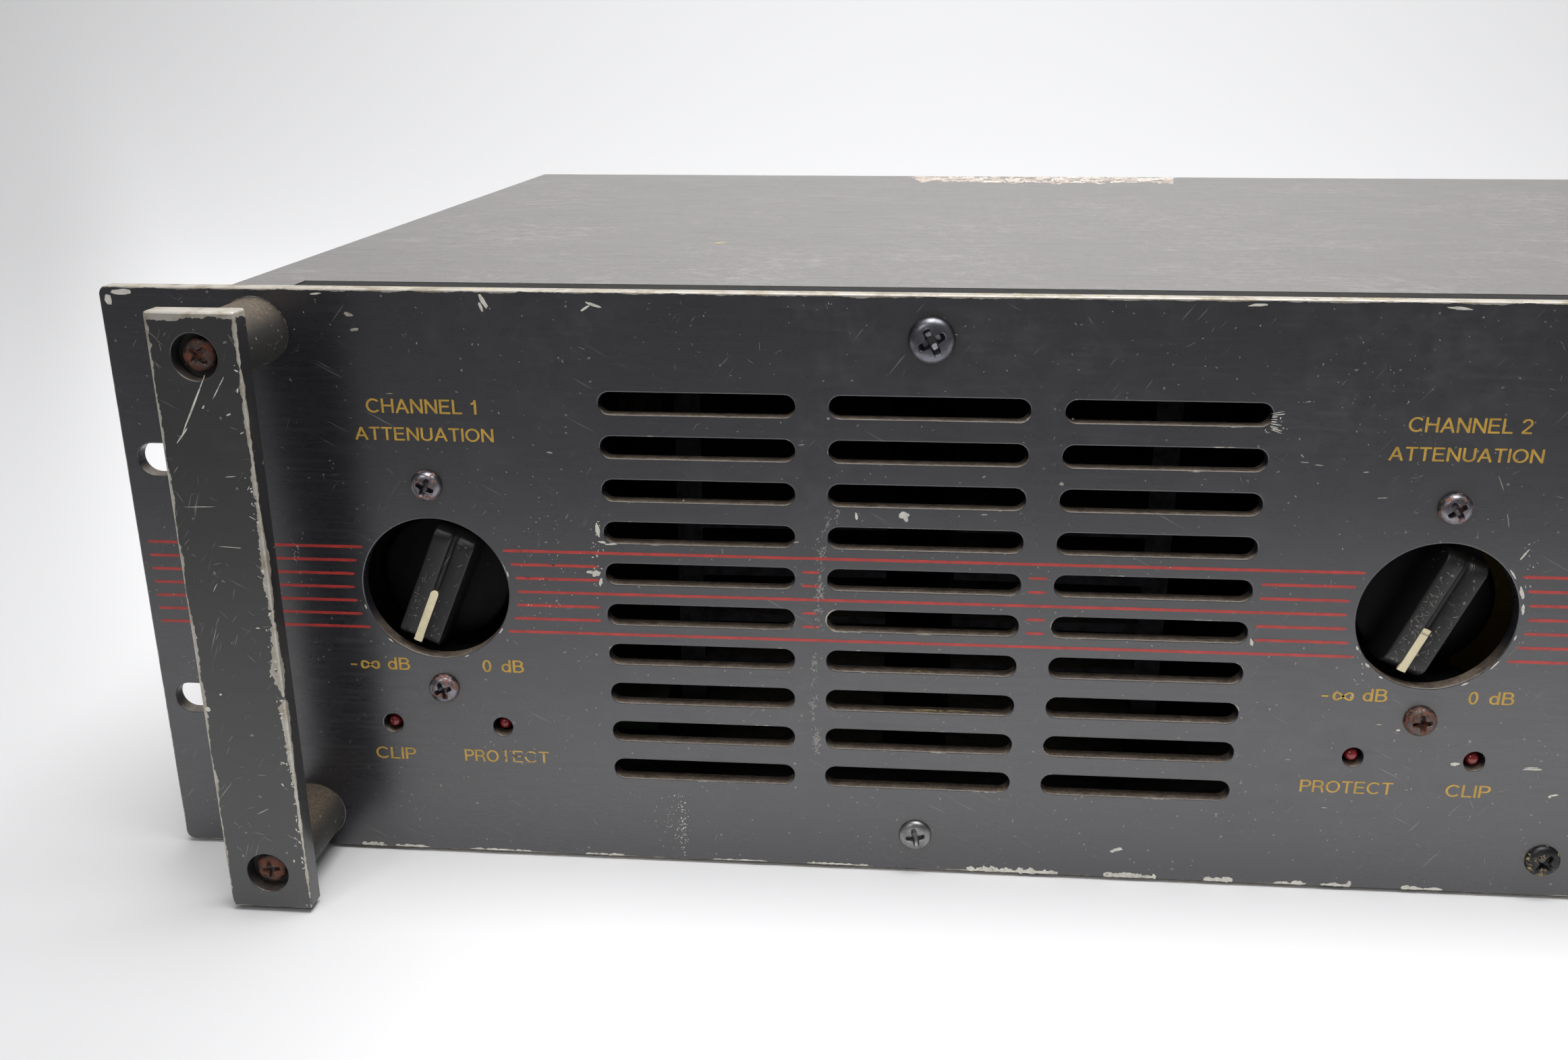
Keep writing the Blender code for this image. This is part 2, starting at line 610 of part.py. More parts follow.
def terminals(rear):
    """A barrier strip for the loudspeaker leads, with a screw head in each bay."""
    bays = 4
    pitch = TERMINAL_W / bays
    left, low = TERMINAL_X - TERMINAL_W / 2, TERMINAL_Z - TERMINAL_H / 2
    strip = block((left, rear + FIT_GAP, low), (left + TERMINAL_W, rear + TERMINAL_D, low + TERMINAL_H))
    rooms, heads = [], []
    for bay in range(bays):
        start = left + bay * pitch + 1.5
        rooms.append(block((start, rear + 4.5, low - 1), (start + pitch - 3, rear + 14, low + TERMINAL_H + 1)))
        heads.append(rod(left + (bay + 0.5) * pitch, TERMINAL_Z, 3.8, rear + 3, rear + 6.8, 12))
    combine(strip, rooms, "DIFFERENCE")
    combine(strip, heads, "UNION")
    finish(strip, "terminal_strip", BLACK_PLASTIC)


def main():
    """Build the whole amplifier."""
    front_panel()
    handles()
    for name, (x, z, radius, rise) in PANEL_SCREWS.items():
        machine_screw(f"panel_screw_{name}", x, z, radius, rise, 8)
    knobs()
    lamps()
    power_switch()
    front_frame()
    case()
    heatsinks()
    fan()
    supply()
    rear_fittings()


main()
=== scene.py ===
"""Looks of a worn two-channel rack power amplifier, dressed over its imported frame.

Lengths named in millimetres are panel sizes: x from the panel's centre line, y behind its front
face, z above its bottom edge.  Layout turns them into metres in the frame's own coordinates.
"""

import logging
import math
from collections.abc import Callable, Iterator
from contextlib import contextmanager
from dataclasses import dataclass, field
from enum import Enum
from functools import cache, partialmethod, reduce

import bmesh
import bpy
import numpy as np
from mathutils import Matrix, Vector
from mathutils.geometry import tessellate_polygon


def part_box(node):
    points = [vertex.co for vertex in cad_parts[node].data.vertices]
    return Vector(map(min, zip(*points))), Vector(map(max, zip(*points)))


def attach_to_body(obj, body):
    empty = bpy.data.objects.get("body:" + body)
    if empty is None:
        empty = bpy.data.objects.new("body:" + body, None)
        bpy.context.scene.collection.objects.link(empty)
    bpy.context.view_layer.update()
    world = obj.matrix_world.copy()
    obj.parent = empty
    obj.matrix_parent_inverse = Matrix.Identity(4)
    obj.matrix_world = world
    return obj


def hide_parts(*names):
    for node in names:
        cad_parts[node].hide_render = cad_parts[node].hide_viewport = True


LOG = logging.getLogger("amplifier")
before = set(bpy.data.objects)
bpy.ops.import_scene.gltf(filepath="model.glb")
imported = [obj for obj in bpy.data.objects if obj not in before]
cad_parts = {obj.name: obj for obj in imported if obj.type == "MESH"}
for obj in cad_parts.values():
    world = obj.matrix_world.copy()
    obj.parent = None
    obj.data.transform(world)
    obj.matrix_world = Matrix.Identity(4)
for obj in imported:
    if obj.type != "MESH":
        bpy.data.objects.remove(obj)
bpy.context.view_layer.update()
MM = 0.001
SAME_POINT = 2e-7
CREASE = math.radians(38)
ANY_TURN = (-90, 90)
Colour = tuple[float, float, float]


# Places -------------------------------------------------------------------------------------

@dataclass(frozen=True)
class Layout:
    """Driving sizes of the panel in millimetres, and its place in the frame in metres."""

    front: float
    base: float
    width: float = 482.6
    height: float = 132.5
    thick: float = 3.3
    rack_x: float = 232.6
    rack_rise: float = 28.6
    rack_straight: float = 2.2
    rack_radius: float = 3.3
    screw_rise: float = 57.15
    screw_x: float = 70.9
    strap_rise: float = 24.0
    vent_x: float = -67.3
    vent_pitch_x: float = 48.3
    vent_pitch_z: float = 9.525
    vent_length: float = 41.4
    vent_radius: float = 2.54
    vent_rows: int = 10
    knob_offset: float = 107.2
    knob_hole: float = 16.7
    lamp_offset: float = 12.8
    lamp_z: float = 32.9
    switch_x: float = 140.0

    @classmethod
    def from_frame(cls) -> "Layout":
        """Read the panel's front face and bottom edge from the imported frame."""
        low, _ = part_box("front_panel")
        return cls(front=low[1], base=low[2])

    @property
    def middle(self) -> float:
        """Height of the panel's middle line."""
        return self.height / 2

    @property
    def knobs(self) -> dict[str, float]:
        """Name and x of each knob."""
        return {"left": self.vent_x - self.knob_offset, "right": self.vent_x + self.knob_offset}

    def place(self, points: np.ndarray) -> np.ndarray:
        """Panel millimetres to metres in the frame: scale, then shift to the panel's corner lines."""
        return np.asarray(points, float) * MM + np.array([0.0, self.front, self.base])

    def box(self, name: str) -> np.ndarray:
        """Low and high corner of a frame node in panel millimetres."""
        return (np.array(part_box(name)) - np.array([0.0, self.front, self.base])) / MM

    def vent_row(self, row: int) -> float:
        """Height of a row of slots, counted from the lowest."""
        return self.middle + (row - (self.vent_rows - 1) / 2) * self.vent_pitch_z

    @property
    def vent_columns(self) -> list[float]:
        """The x of each column of slots."""
        return [self.vent_x + column * self.vent_pitch_x for column in (-1, 0, 1)]


LAYOUT = Layout.from_frame()


# Meshes -------------------------------------------------------------------------------------

@contextmanager
def opened(mesh: bpy.types.Mesh) -> Iterator[bmesh.types.BMesh]:
    """Open a mesh for edits and write it back."""
    work = bmesh.new()
    work.from_mesh(mesh)
    yield work
    work.to_mesh(mesh)
    work.free()


def new_piece(name: str, points: np.ndarray, faces: list, smooth: bool = True,
              seal: bool = True) -> bpy.types.Object:
    """Make a mesh piece from panel millimetres.

    Args:
        name: the piece's name.
        points: (n, 3) array of panel millimetres.
        faces: lists of point indices.
        smooth: shade smooth, with creases kept at sharp corners.
        seal: merge doubled points and turn the faces outwards.

    Returns:
        The object, at the origin, with its place in its mesh.
    """
    mesh = bpy.data.meshes.new(name)
    mesh.from_pydata(LAYOUT.place(points.reshape(-1, 3)).tolist(), [], faces)
    if seal:
        with opened(mesh) as work:
            bmesh.ops.remove_doubles(work, verts=work.verts, dist=SAME_POINT)
            bmesh.ops.dissolve_degenerate(work, edges=work.edges, dist=1e-8)
            bmesh.ops.recalc_face_normals(work, faces=work.faces)
    mesh.update()
    if smooth:
        mesh.shade_smooth()
        mesh.set_sharp_from_angle(angle=CREASE)
    piece = bpy.data.objects.new(name, mesh)
    bpy.context.scene.collection.objects.link(piece)
    return piece


def front_piece(name: str, points: np.ndarray, faces: list) -> bpy.types.Object:
    """A flat piece, not sealed, with every face turned towards the front."""
    piece = new_piece(name, points, faces, smooth=False, seal=False)
    with opened(piece.data) as work:
        work.normal_update()
        bmesh.ops.reverse_faces(work, faces=[face for face in work.faces if face.normal.y > 0])
    return piece


@dataclass
class Parts:
    """Points and faces of several patches, gathered for one mesh."""

    points: list = field(default_factory=list)
    faces: list = field(default_factory=list)
    count: int = 0

    def add(self, points: np.ndarray, faces: list) -> None:
        """Add a patch whose faces count from its own first point."""
        self.points.append(points.reshape(-1, 3))
        self.faces += [[index + self.count for index in face] for face in faces]
        self.count += len(self.points[-1])

    def front_piece(self, name: str) -> bpy.types.Object:
        """One flat piece of all the patches, turned to the front."""
        return front_piece(name, np.concatenate(self.points), self.faces)


def grid_faces(rows: int, columns: int, wrap_rows: bool = False, wrap_columns: bool = False) -> list:
    """Quads of a grid: point (i, j) joined to (i+1, j), (i+1, j+1) and (i, j+1).

    Args:
        rows: number of rows of points.
        columns: number of points in a row.
        wrap_rows: join the last row to the first.
        wrap_columns: join the last column to the first.

    Returns:
        A list of quads.
    """
    i = np.arange(rows if wrap_rows else rows - 1)[:, None]
    j = np.arange(columns if wrap_columns else columns - 1)[None, :]
    below, beside = (i + 1) % rows, (j + 1) % columns
    quads = np.stack([i * columns + j, below * columns + j, below * columns + beside,
                      i * columns + beside], axis=-1)
    return quads.reshape(-1, 4).tolist()


def capped_tube(name: str, rings: np.ndarray) -> bpy.types.Object:
    """A tube through rings of points, an array (ring, point, 3), closed by a face on each end ring."""
    rows, columns = rings.shape[:2]
    ends = [list(range(columns)), list(range((rows - 1) * columns, rows * columns))]
    return new_piece(name, rings, grid_faces(rows, columns, False, True) + ends)


def turned(name: str, profile: list, x: float, z: float, sides: int = 64) -> bpy.types.Object:
    """Turn a closed profile about an axis along y: (r, y) goes to (x + r cos a, y, z + r sin a)."""
    radius, depth = np.array(profile, float).T
    angle = np.linspace(0, 2 * np.pi, sides, endpoint=False)
    points = np.stack([x + radius[:, None] * np.cos(angle), np.repeat(depth[:, None], sides, 1),
                       z + radius[:, None] * np.sin(angle)], axis=-1)
    closed = radius[0] > 0 or radius[-1] > 0
    return new_piece(name, points, grid_faces(len(radius), sides, closed, True))


class Outline(Enum):
    """Kinds of flat outline."""

    SLOT = "slot"
    ROUND = "round"
    BOX = "box"


@dataclass(frozen=True)
class Edge:
    """A closed outline in x and z that can be grown or shrunk evenly.

    A slot is two half circles joined by straights; a box has four quarter-circle corners.
    """

    kind: Outline
    x: float
    z: float
    width: float
    height: float
    corner: float = 0.0
    steps: int = 12

    def points(self, grow: float = 0.0) -> np.ndarray:
        """Outline moved outwards by grow: centre of each corner plus radius times (cos, sin)."""
        corner = self.corner if self.kind is Outline.BOX else self.height / 2
        reach_x, reach_z = self.width / 2 - corner, self.height / 2 - corner
        signs = np.array([[1, 1], [-1, 1], [-1, -1], [1, -1]])
        start = np.radians([0, 90, 180, 270])
        angle = start[:, None] + np.linspace(0, np.pi / 2, self.steps)[None, :]
        radius = max(corner + grow, 1e-4)
        x = self.x + signs[:, :1] * reach_x + radius * np.cos(angle)
        z = self.z + signs[:, 1:] * reach_z + radius * np.sin(angle)
        ring = np.stack([x, z], axis=-1).reshape(-1, 2)
        keep = np.linalg.norm(ring - np.roll(ring, 1, axis=0), axis=1) > 1e-6
        return ring[keep]


def plate(name: str, outer: Edge, holes: list[Edge], front: float, back: float, rim: float,
          hole_rim: float | None = None) -> bpy.types.Object:
    """A flat plate with rounded rims on its outline and its holes.

    The faces are the outlines filled in; each wall is the outline carried along a profile that
    runs as a quarter circle off the front face, straight back, and round onto the back face.

    Args:
        name: the piece's name.
        outer: the outer outline.
        holes: outlines of the holes.
        front: depth of the front face.
        back: depth of the back face.
        rim: radius of the outer rims.
        hole_rim: radius of the holes' front rims, the same as rim if not given.

    Returns:
        The plate, with flat faces and smooth rims.
    """
    hole_rim = rim if hole_rim is None else hole_rim
    parts, fronts, backs = Parts(), [], []
    turn = np.linspace(0, np.pi / 2, 6)
    for edge, inward, radius in [(outer, -1, rim)] + [(hole, 1, hole_rim) for hole in holes]:
        rear = min(radius, 0.3)
        grow = np.concatenate([radius * (1 - np.sin(turn)), rear * (1 - np.cos(turn))])
        depth = np.concatenate([front + radius * (1 - np.cos(turn)), back - rear * (1 - np.sin(turn))])
        rings = [edge.points(inward * step) for step in grow]
        wall = np.stack([np.insert(ring, 1, y, axis=1) for ring, y in zip(rings, depth)])
        fronts.append((rings[0], parts.count))
        backs.append((rings[-1], parts.count + (len(rings) - 1) * len(rings[-1])))
        parts.add(wall, grid_faces(*wall.shape[:2], False, True))
    faces = parts.faces
    walls = len(faces)
    for loops in (fronts, backs):
        index = np.concatenate([start + np.arange(len(ring)) for ring, start in loops])
        filled = tessellate_polygon([[Vector((x, z, 0)) for x, z in ring] for ring, _ in loops])
        faces += [[int(index[i]) for i in triangle] for triangle in filled]
    piece = new_piece(name, np.concatenate(parts.points), faces, smooth=False, seal=False)
    with opened(piece.data) as work:
        bmesh.ops.recalc_face_normals(work, faces=work.faces)
    piece.data.polygons.foreach_set("use_smooth", [index < walls for index in range(len(faces))])
    return piece


# Shader graphs ------------------------------------------------------------------------------

class Value:
    """A node's output; arithmetic on it adds Math nodes, and below gives 1 where it is less, else 0."""

    __array_ufunc__ = None  # numpy numbers leave their arithmetic with a value to this class

    def __init__(self, graph: "Graph", socket: bpy.types.NodeSocket) -> None:
        """Keep the graph and the socket."""
        self.graph, self.socket = graph, socket

    def math(self, operation: str, other: object = None) -> "Value":
        """Self and another value put through a Math node."""
        return self.graph.math(operation, self, other)

    def __rsub__(self, other: object) -> "Value":
        """Other - self."""
        return self.graph.math("SUBTRACT", other, self)

    __add__ = __radd__ = partialmethod(math, "ADD")
    __sub__ = partialmethod(math, "SUBTRACT")
    __mul__ = __rmul__ = partialmethod(math, "MULTIPLY")
    __truediv__ = partialmethod(math, "DIVIDE")
    __abs__ = partialmethod(math, "ABSOLUTE")
    at_least = partialmethod(math, "MAXIMUM")
    at_most = partialmethod(math, "MINIMUM")
    below = partialmethod(math, "LESS_THAN")

    def clamped(self) -> "Value":
        """Keep the Math node that made this value between 0 and 1."""
        self.socket.node.use_clamp = True
        return self

    def siblings(self) -> list["Value"]:
        """All the outputs of this value's node."""
        return [Value(self.graph, socket) for socket in self.socket.node.outputs]


class Graph:
    """Short ways to add and join nodes in one tree."""

    def __init__(self, tree: bpy.types.NodeTree) -> None:
        """Keep the tree."""
        self.tree = tree

    def feed(self, socket: bpy.types.NodeSocket, value: object) -> None:
        """Join a socket to a value, or set its constant."""
        if isinstance(value, Value):
            self.tree.links.new(value.socket, socket)
        elif value is not None:
            if isinstance(value, tuple) and len(value) == 3 and socket.type == "RGBA":
                value = (*value, 1.0)
            socket.default_value = value

    def add(self, kind: str, inputs: dict, output: int | str = 0, **settings: object) -> Value:
        """Add a node, set its properties, feed its inputs and return one output."""
        node = self.tree.nodes.new(kind)
        for key, value in settings.items():
            setattr(node, key, value)
        for key, value in inputs.items():
            self.feed(node.inputs[key], value)
        return Value(self, node.outputs[output])

    def math(self, operation: str, first: object, second: object = None) -> Value:
        """A Math node of one or two inputs."""
        return self.add("ShaderNodeMath", {0: first, 1: second}, operation=operation)

    def band(self, value: object, low: object, high: object, start: float = 0.0, end: float = 1.0) -> Value:
        """A smooth step from start at low to end at high."""
        return self.add("ShaderNodeMapRange", dict(enumerate((value, low, high, start, end))),
                        interpolation_type="SMOOTHSTEP")

    def blend(self, factor: object, first: object, second: object) -> Value:
        """Mix two colours."""
        return self.add("ShaderNodeMix", {0: factor, 6: first, 7: second}, 2, data_type="RGBA")

    def noise(self, vector: Value, scale: object, detail: float = 3.0, rough: float = 0.55,
              output: str = "Fac") -> Value:
        """Noise from 0 to 1."""
        return self.add("ShaderNodeTexNoise", {"Vector": vector, "Scale": scale, "Detail": detail,
                                               "Roughness": rough}, output)

    def scaled(self, vector: Value, x: float, y: float, z: float, shift: float = 0.0) -> Value:
        """A vector stretched along each axis and shifted."""
        return self.add("ShaderNodeMapping", {"Vector": vector, "Scale": (x, y, z),
                                              "Location": (shift, shift, shift)})

    def parts(self, vector: Value) -> list[Value]:
        """The x, y and z of a vector."""
        return self.add("ShaderNodeSeparateXYZ", {0: vector}).siblings()

    def group(self, tree: bpy.types.NodeTree, **inputs: object) -> list[Value]:
        """Place a node group and return its outputs."""
        return self.add("ShaderNodeGroup", inputs, node_tree=tree).siblings()

    def bump(self, height: Value, strength: float, distance: float) -> Value:
        """A bump from a height, with its distance in metres."""
        return self.add("ShaderNodeBump", {"Height": height, "Strength": strength, "Distance": distance})


def new_group(name: str, inputs: dict[str, object], outputs: tuple[str, ...], fill: Callable) -> bpy.types.NodeTree:
    """Make a shader node group.

    Args:
        name: the group's name.
        inputs: names with default values; a value of None makes a vector input.
        outputs: names of the value outputs.
        fill: takes the graph and the inputs, and returns the outputs' values in order.

    Returns:
        The group's tree.
    """
    tree = bpy.data.node_groups.new(name, "ShaderNodeTree")
    for key, value in inputs.items():
        kind = "NodeSocketVector" if value is None else "NodeSocketFloat"
        socket = tree.interface.new_socket(key, in_out="INPUT", socket_type=kind)
        if value is not None:
            socket.default_value = value
    for key in outputs:
        tree.interface.new_socket(key, in_out="OUTPUT", socket_type="NodeSocketFloat")
    graph = Graph(tree)
    given = graph.add("NodeGroupInput", {}).siblings()[:len(inputs)]
    out = tree.nodes.new("NodeGroupOutput")
    for key, value in zip(outputs, fill(graph, *given)):
        graph.feed(out.inputs[key], value)
    return tree


def fill_specks(graph: Graph, position: Value, scale: Value, density: Value, size: Value) -> tuple:
    """Small round specks: a cell's speck shows if its random value is under the density."""
    wobble = graph.noise(position, 900.0, 2.0, 0.5, "Color")
    shift = graph.add("ShaderNodeVectorMath", {0: wobble, "Scale": 0.0011}, operation="SCALE")
    bent = graph.add("ShaderNodeVectorMath", {0: position, 1: shift}, operation="ADD")
    cells = graph.add("ShaderNodeTexVoronoi", {"Vector": bent, "Scale": scale}, feature="F1")
    distance, colour = cells.siblings()[:2]
    red, green, _ = graph.parts(colour)
    return (red.below(density) * distance.below(size * (green + 0.35)),)


def fill_wear(graph: Graph, position: Value, distance: Value, reach: Value, raggedness: Value,
              scale: Value) -> tuple:
    """Paint rubbed off near an edge: bare where the distance is under a ragged reach."""
    coarse = graph.noise(position, scale * 1.0, 5.0, 0.5)
    fine = graph.noise(position, scale * 7.0, 3.0, 0.5)
    ragged = ((coarse - 0.5) * 3.4 + (fine - 0.5) * 1.2) * raggedness
    return (graph.band(reach * (ragged + 1.0) - distance, 0.0, 0.00008),)


def fill_dust(graph: Graph, position: Value, amount: Value) -> tuple:
    """Dust that settles on faces that look up, broken up by noise."""
    normal = graph.add("ShaderNodeNewGeometry", {}, "Normal")
    up = graph.band(graph.parts(normal)[2], 0.25, 0.85)
    patchy = graph.band(graph.noise(position, 420.0, 5.0, 0.65), 0.28, 0.62)
    return ((up * (patchy * 0.55 + 0.45) * amount).clamped(),)


def fill_handling(graph: Graph, position: Value) -> tuple:
    """Handling marks: broad smudges, fine rubbed lines and grain, each from 0 to 1."""
    broad = graph.noise(position, 26.0, 4.0, 0.6)
    mottled = graph.noise(position, 210.0, 4.0, 0.7)
    smudge = graph.band(broad, 0.38, 0.72) * graph.band(mottled, 0.35, 0.75)
    lines = graph.noise(graph.scaled(position, 60.0, 900.0, 900.0), 1.0, 3.0, 0.6)
    return smudge, graph.band(lines, 0.45, 0.75), graph.noise(position, 2600.0, 2.0, 0.6)


def fill_hairlines(graph: Graph, position: Value, amount: Value) -> tuple:
    """Hairline scratches: noise drawn out along three directions in the front plane, kept where it peaks."""
    marks = []
    for index, (turn, length) in enumerate(((0.5, 60.0), (-0.9, 90.0), (1.9, 75.0))):
        turned_by = graph.add("ShaderNodeMapping", {"Vector": position, "Rotation": (0.0, turn, 0.0)},
                              vector_type="TEXTURE")
        drawn = graph.scaled(turned_by, length, 200.0, 2600.0, 3.1 * index)
        patch = graph.noise(graph.scaled(position, 1.0, 1.0, 1.0, 0.7 * index), 45.0, 2.0)
        marks.append(graph.band(graph.noise(drawn, 1.0, 2.0, 0.5), 0.70, 0.76) * graph.band(patch, 0.48, 0.62))
    return (reduce(Value.at_least, marks) * amount,)


SPECKS = new_group("specks", {"Position": None, "Scale": 300.0, "Density": 0.2, "Size": 0.25}, ("Mask",),
                   fill_specks)
WEAR = new_group("edge wear", {"Position": None, "Distance": 0.0, "Reach": 0.001, "Raggedness": 1.0,
                               "Scale": 160.0}, ("Mask",), fill_wear)
DUST = new_group("settled dust", {"Position": None, "Amount": 1.0}, ("Mask",), fill_dust)
HANDLING = new_group("handling", {"Position": None}, ("Smudge", "Rub", "Grain"), fill_handling)
HAIRLINES = new_group("hairlines", {"Position": None, "Amount": 0.5}, ("Mask",), fill_hairlines)


# Finishes -----------------------------------------------------------------------------------

def tint(colour: Colour, factor: float | Colour, lift: float = 0.0) -> Colour:
    """A colour times a factor, plus a lift."""
    return tuple((np.array(colour) * factor + lift).tolist())


@dataclass(frozen=True)
class Finish:
    """A material's name and main colour; each kind of finish says what feeds its shader."""

    name: str
    colour: Colour

    def sockets(self, graph: Graph, position: Value) -> dict[str, object]:
        """Values and constants of the shader's sockets, from the place in metres."""
        return {"Base Color": self.colour}

    @cache
    def material(self) -> bpy.types.Material:
        """Build the material, once."""
        made = bpy.data.materials.new(self.name)
        made.use_nodes = True
        graph = Graph(made.node_tree)
        shader = made.node_tree.nodes["Principled BSDF"]
        position = graph.add("ShaderNodeTexCoord", {}, "Object")
        for key, value in self.sockets(graph, position).items():
            graph.feed(shader.inputs[key], value)
        return made


class Worn(Enum):
    """Which edges of a painted part are rubbed bare."""

    NONE = "none"
    PANEL = "panel"
    HANDLE = "handle"
    COVER = "cover"


@dataclass(frozen=True)
class Paint(Finish):
    """Satin paint over sheet metal, with dust, specks, handling marks and bare edges."""

    roughness: float = 0.46
    dust: float = 0.7
    specks: float = 0.16
    worn: Worn = Worn.NONE
    bare: Colour = (0.56, 0.53, 0.47)
    dirt: Colour = (0.155, 0.118, 0.085)
    grain: float = 0.12
    shine: float = 0.5
    ior: float = 1.5
    patchy: float = 0.14
    rubbed: float = 0.3
    hairlines: float = 0.5
    haze: float = 0.010

    @staticmethod
    def beyond(across: Value, level: Value, radius: float) -> Value:
        """The length of (across, level) less a radius in millimetres."""
        return (across * across + level * level).math("SQRT") - radius * MM

    def rim_distance(self, x: Value, z: Value) -> Value:
        """Distance outside the nearest slot, knob hole or rack slot of the panel.

        A slot's distance is the length of (across beyond its straight part, height from its middle)
        less its radius; the nearest column and row come from rounding.
        """
        rise = z - (LAYOUT.base + LAYOUT.middle * MM)
        pitch, step = LAYOUT.vent_pitch_x * MM, LAYOUT.vent_pitch_z * MM
        centred = x - LAYOUT.vent_x * MM
        column = (centred / pitch).math("ROUND").at_most(1.0).at_least(-1.0)
        across = abs(centred - column * pitch) - (LAYOUT.vent_length / 2 - LAYOUT.vent_radius) * MM
        half_rows = LAYOUT.vent_rows / 2
        row = (rise / step + 0.5).math("ROUND").at_most(half_rows).at_least(1.0 - half_rows) - 0.5
        distances = [self.beyond(across.at_least(0.0), rise - row * step, LAYOUT.vent_radius)]
        distances += [self.beyond(x - knob * MM, rise, LAYOUT.knob_hole) for knob in LAYOUT.knobs.values()]
        ear = (abs(abs(x) - LAYOUT.rack_x * MM) - LAYOUT.rack_straight * MM).at_least(0.0)
        distances.append(self.beyond(ear, abs(rise) - LAYOUT.rack_rise * MM, LAYOUT.rack_radius))
        return reduce(Value.at_most, distances)

    def screw_shade_ring(self, graph: Graph, position: Value) -> Value:
        """Painted shade round the screw heads, a darker ring: 1 at a head's rim, 0 a few millimetres out."""
        x, _, z = graph.parts(position)
        places = [(LAYOUT.vent_x, LAYOUT.screw_rise, 4.9), (LAYOUT.vent_x, -LAYOUT.screw_rise, 3.8),
                  (LAYOUT.screw_x, LAYOUT.screw_rise, 3.8), (LAYOUT.screw_x, -LAYOUT.screw_rise, 3.8)]
        places += [(knob, sign * LAYOUT.strap_rise, 3.5) for knob in LAYOUT.knobs.values() for sign in (-1, 1)]
        middle = LAYOUT.base + LAYOUT.middle * MM
        rings = [self.beyond(x - across * MM, z - (middle + rise * MM), radius) for across, rise, radius in places]
        return reduce(Value.at_least, [graph.band(ring, -0.0002, 0.0022, 1.0, 0.0) for ring in rings])

    def edge_distances(self, graph: Graph, position: Value) -> list[tuple]:
        """Distance from each worn edge with its reach, raggedness and pattern scale."""
        x, y, z = graph.parts(position)
        side, base = abs(x), LAYOUT.base
        if self.worn is Worn.PANEL:
            ends = (LAYOUT.width / 2 * MM - side).at_least((y - LAYOUT.front) * 0.4)
            rims = abs(self.rim_distance(x, z) - 0.00008) + 0.00040
            return [(base + LAYOUT.height * MM - z, 0.00050, 0.9, 120.0), (z - base, 0.00022, 2.0, 60.0),
                    (ends, 0.00028, 1.2, 130.0), (rims, 0.00020, 2.6, 75.0)]
        if self.worn is Worn.HANDLE:
            low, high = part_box("handle_bar_right")
            depth = y - low[1]
            middle = graph.band(z, base + 0.020, base + 0.050) * graph.band(z, base + 0.075, base + 0.105, 1.0, 0.3)
            return [((high[0] - side).at_least(depth), 0.00078, 1.0, 130.0),
                    ((side - low[0]).at_least(depth), middle * 0.00080 + 0.00035, 1.5, 120.0),
                    (high[2] - z, 0.0014, 0.8, 110.0), ((z - low[2]).at_least(depth), 0.0003, 1.0, 200.0)]
        if self.worn is Worn.COVER:
            _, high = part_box("top_cover")
            corner = (high[0] - side).at_least(base + (LAYOUT.height - 0.2) * MM - z)
            return [(corner, 0.0007, 1.0, 90.0), (high[1] - y, 0.0005, 1.2, 80.0)]
        return []

    def sockets(self, graph: Graph, position: Value) -> dict[str, object]:
        """Paint, then rubbed lines, specks, hairlines, painted shade round the screws and dust, then metal where the
        edges are bare.
        """
        smudge, rub, grain = graph.group(HANDLING, Position=position)
        colour = graph.blend(smudge * 0.62, self.colour, tint(self.colour, 1.25, self.haze))
        colour = graph.blend(rub * self.rubbed, colour, tint(self.colour, 0.72))
        specks = graph.group(SPECKS, Position=position, Scale=700.0, Density=self.specks, Size=0.17)[0]
        colour = graph.blend(specks * 0.55, colour, (0.30, 0.28, 0.25))
        lines = graph.group(HAIRLINES, Position=position, Amount=self.hairlines)[0]
        colour = graph.blend(lines, colour, (0.30, 0.285, 0.26))
        if self.worn is Worn.PANEL:
            # painted shade: a darker ring round each screw head
            colour = graph.blend(self.screw_shade_ring(graph, position) * 0.75, colour, (0.012, 0.008, 0.006))
        dust = graph.group(DUST, Position=position, Amount=self.dust)[0]
        crumbs = graph.band(graph.noise(position, 1500.0, 4.0, 0.7), 0.35, 0.7)
        colour = graph.blend(dust, colour, graph.blend(crumbs, self.dirt, tint(self.dirt, 2.4)))
        rough = (smudge * self.patchy + self.roughness + rub * (self.patchy * 0.5) + dust * 0.35).clamped()
        height = grain * self.grain + dust * 0.8
        fed = {"Roughness": rough, "Specular IOR Level": self.shine, "IOR": self.ior}
        masks = [graph.group(WEAR, Position=position, Distance=distance, Reach=reach, Raggedness=ragged,
                             Scale=scale)[0]
                 for distance, reach, ragged, scale in self.edge_distances(graph, position)]
        if masks:
            bare = reduce(Value.at_least, masks)
            stain = graph.band(graph.noise(position, 190.0, 4.0, 0.65), 0.40, 0.70)
            colour = graph.blend(bare, colour, graph.blend(stain, self.bare, tint(self.bare, (0.62, 0.55, 0.44))))
            height = height - bare * 1.2
            fed["Metallic"] = bare * 0.35
        return fed | {"Base Color": colour, "Normal": graph.bump(height, 0.35, 0.00009)}


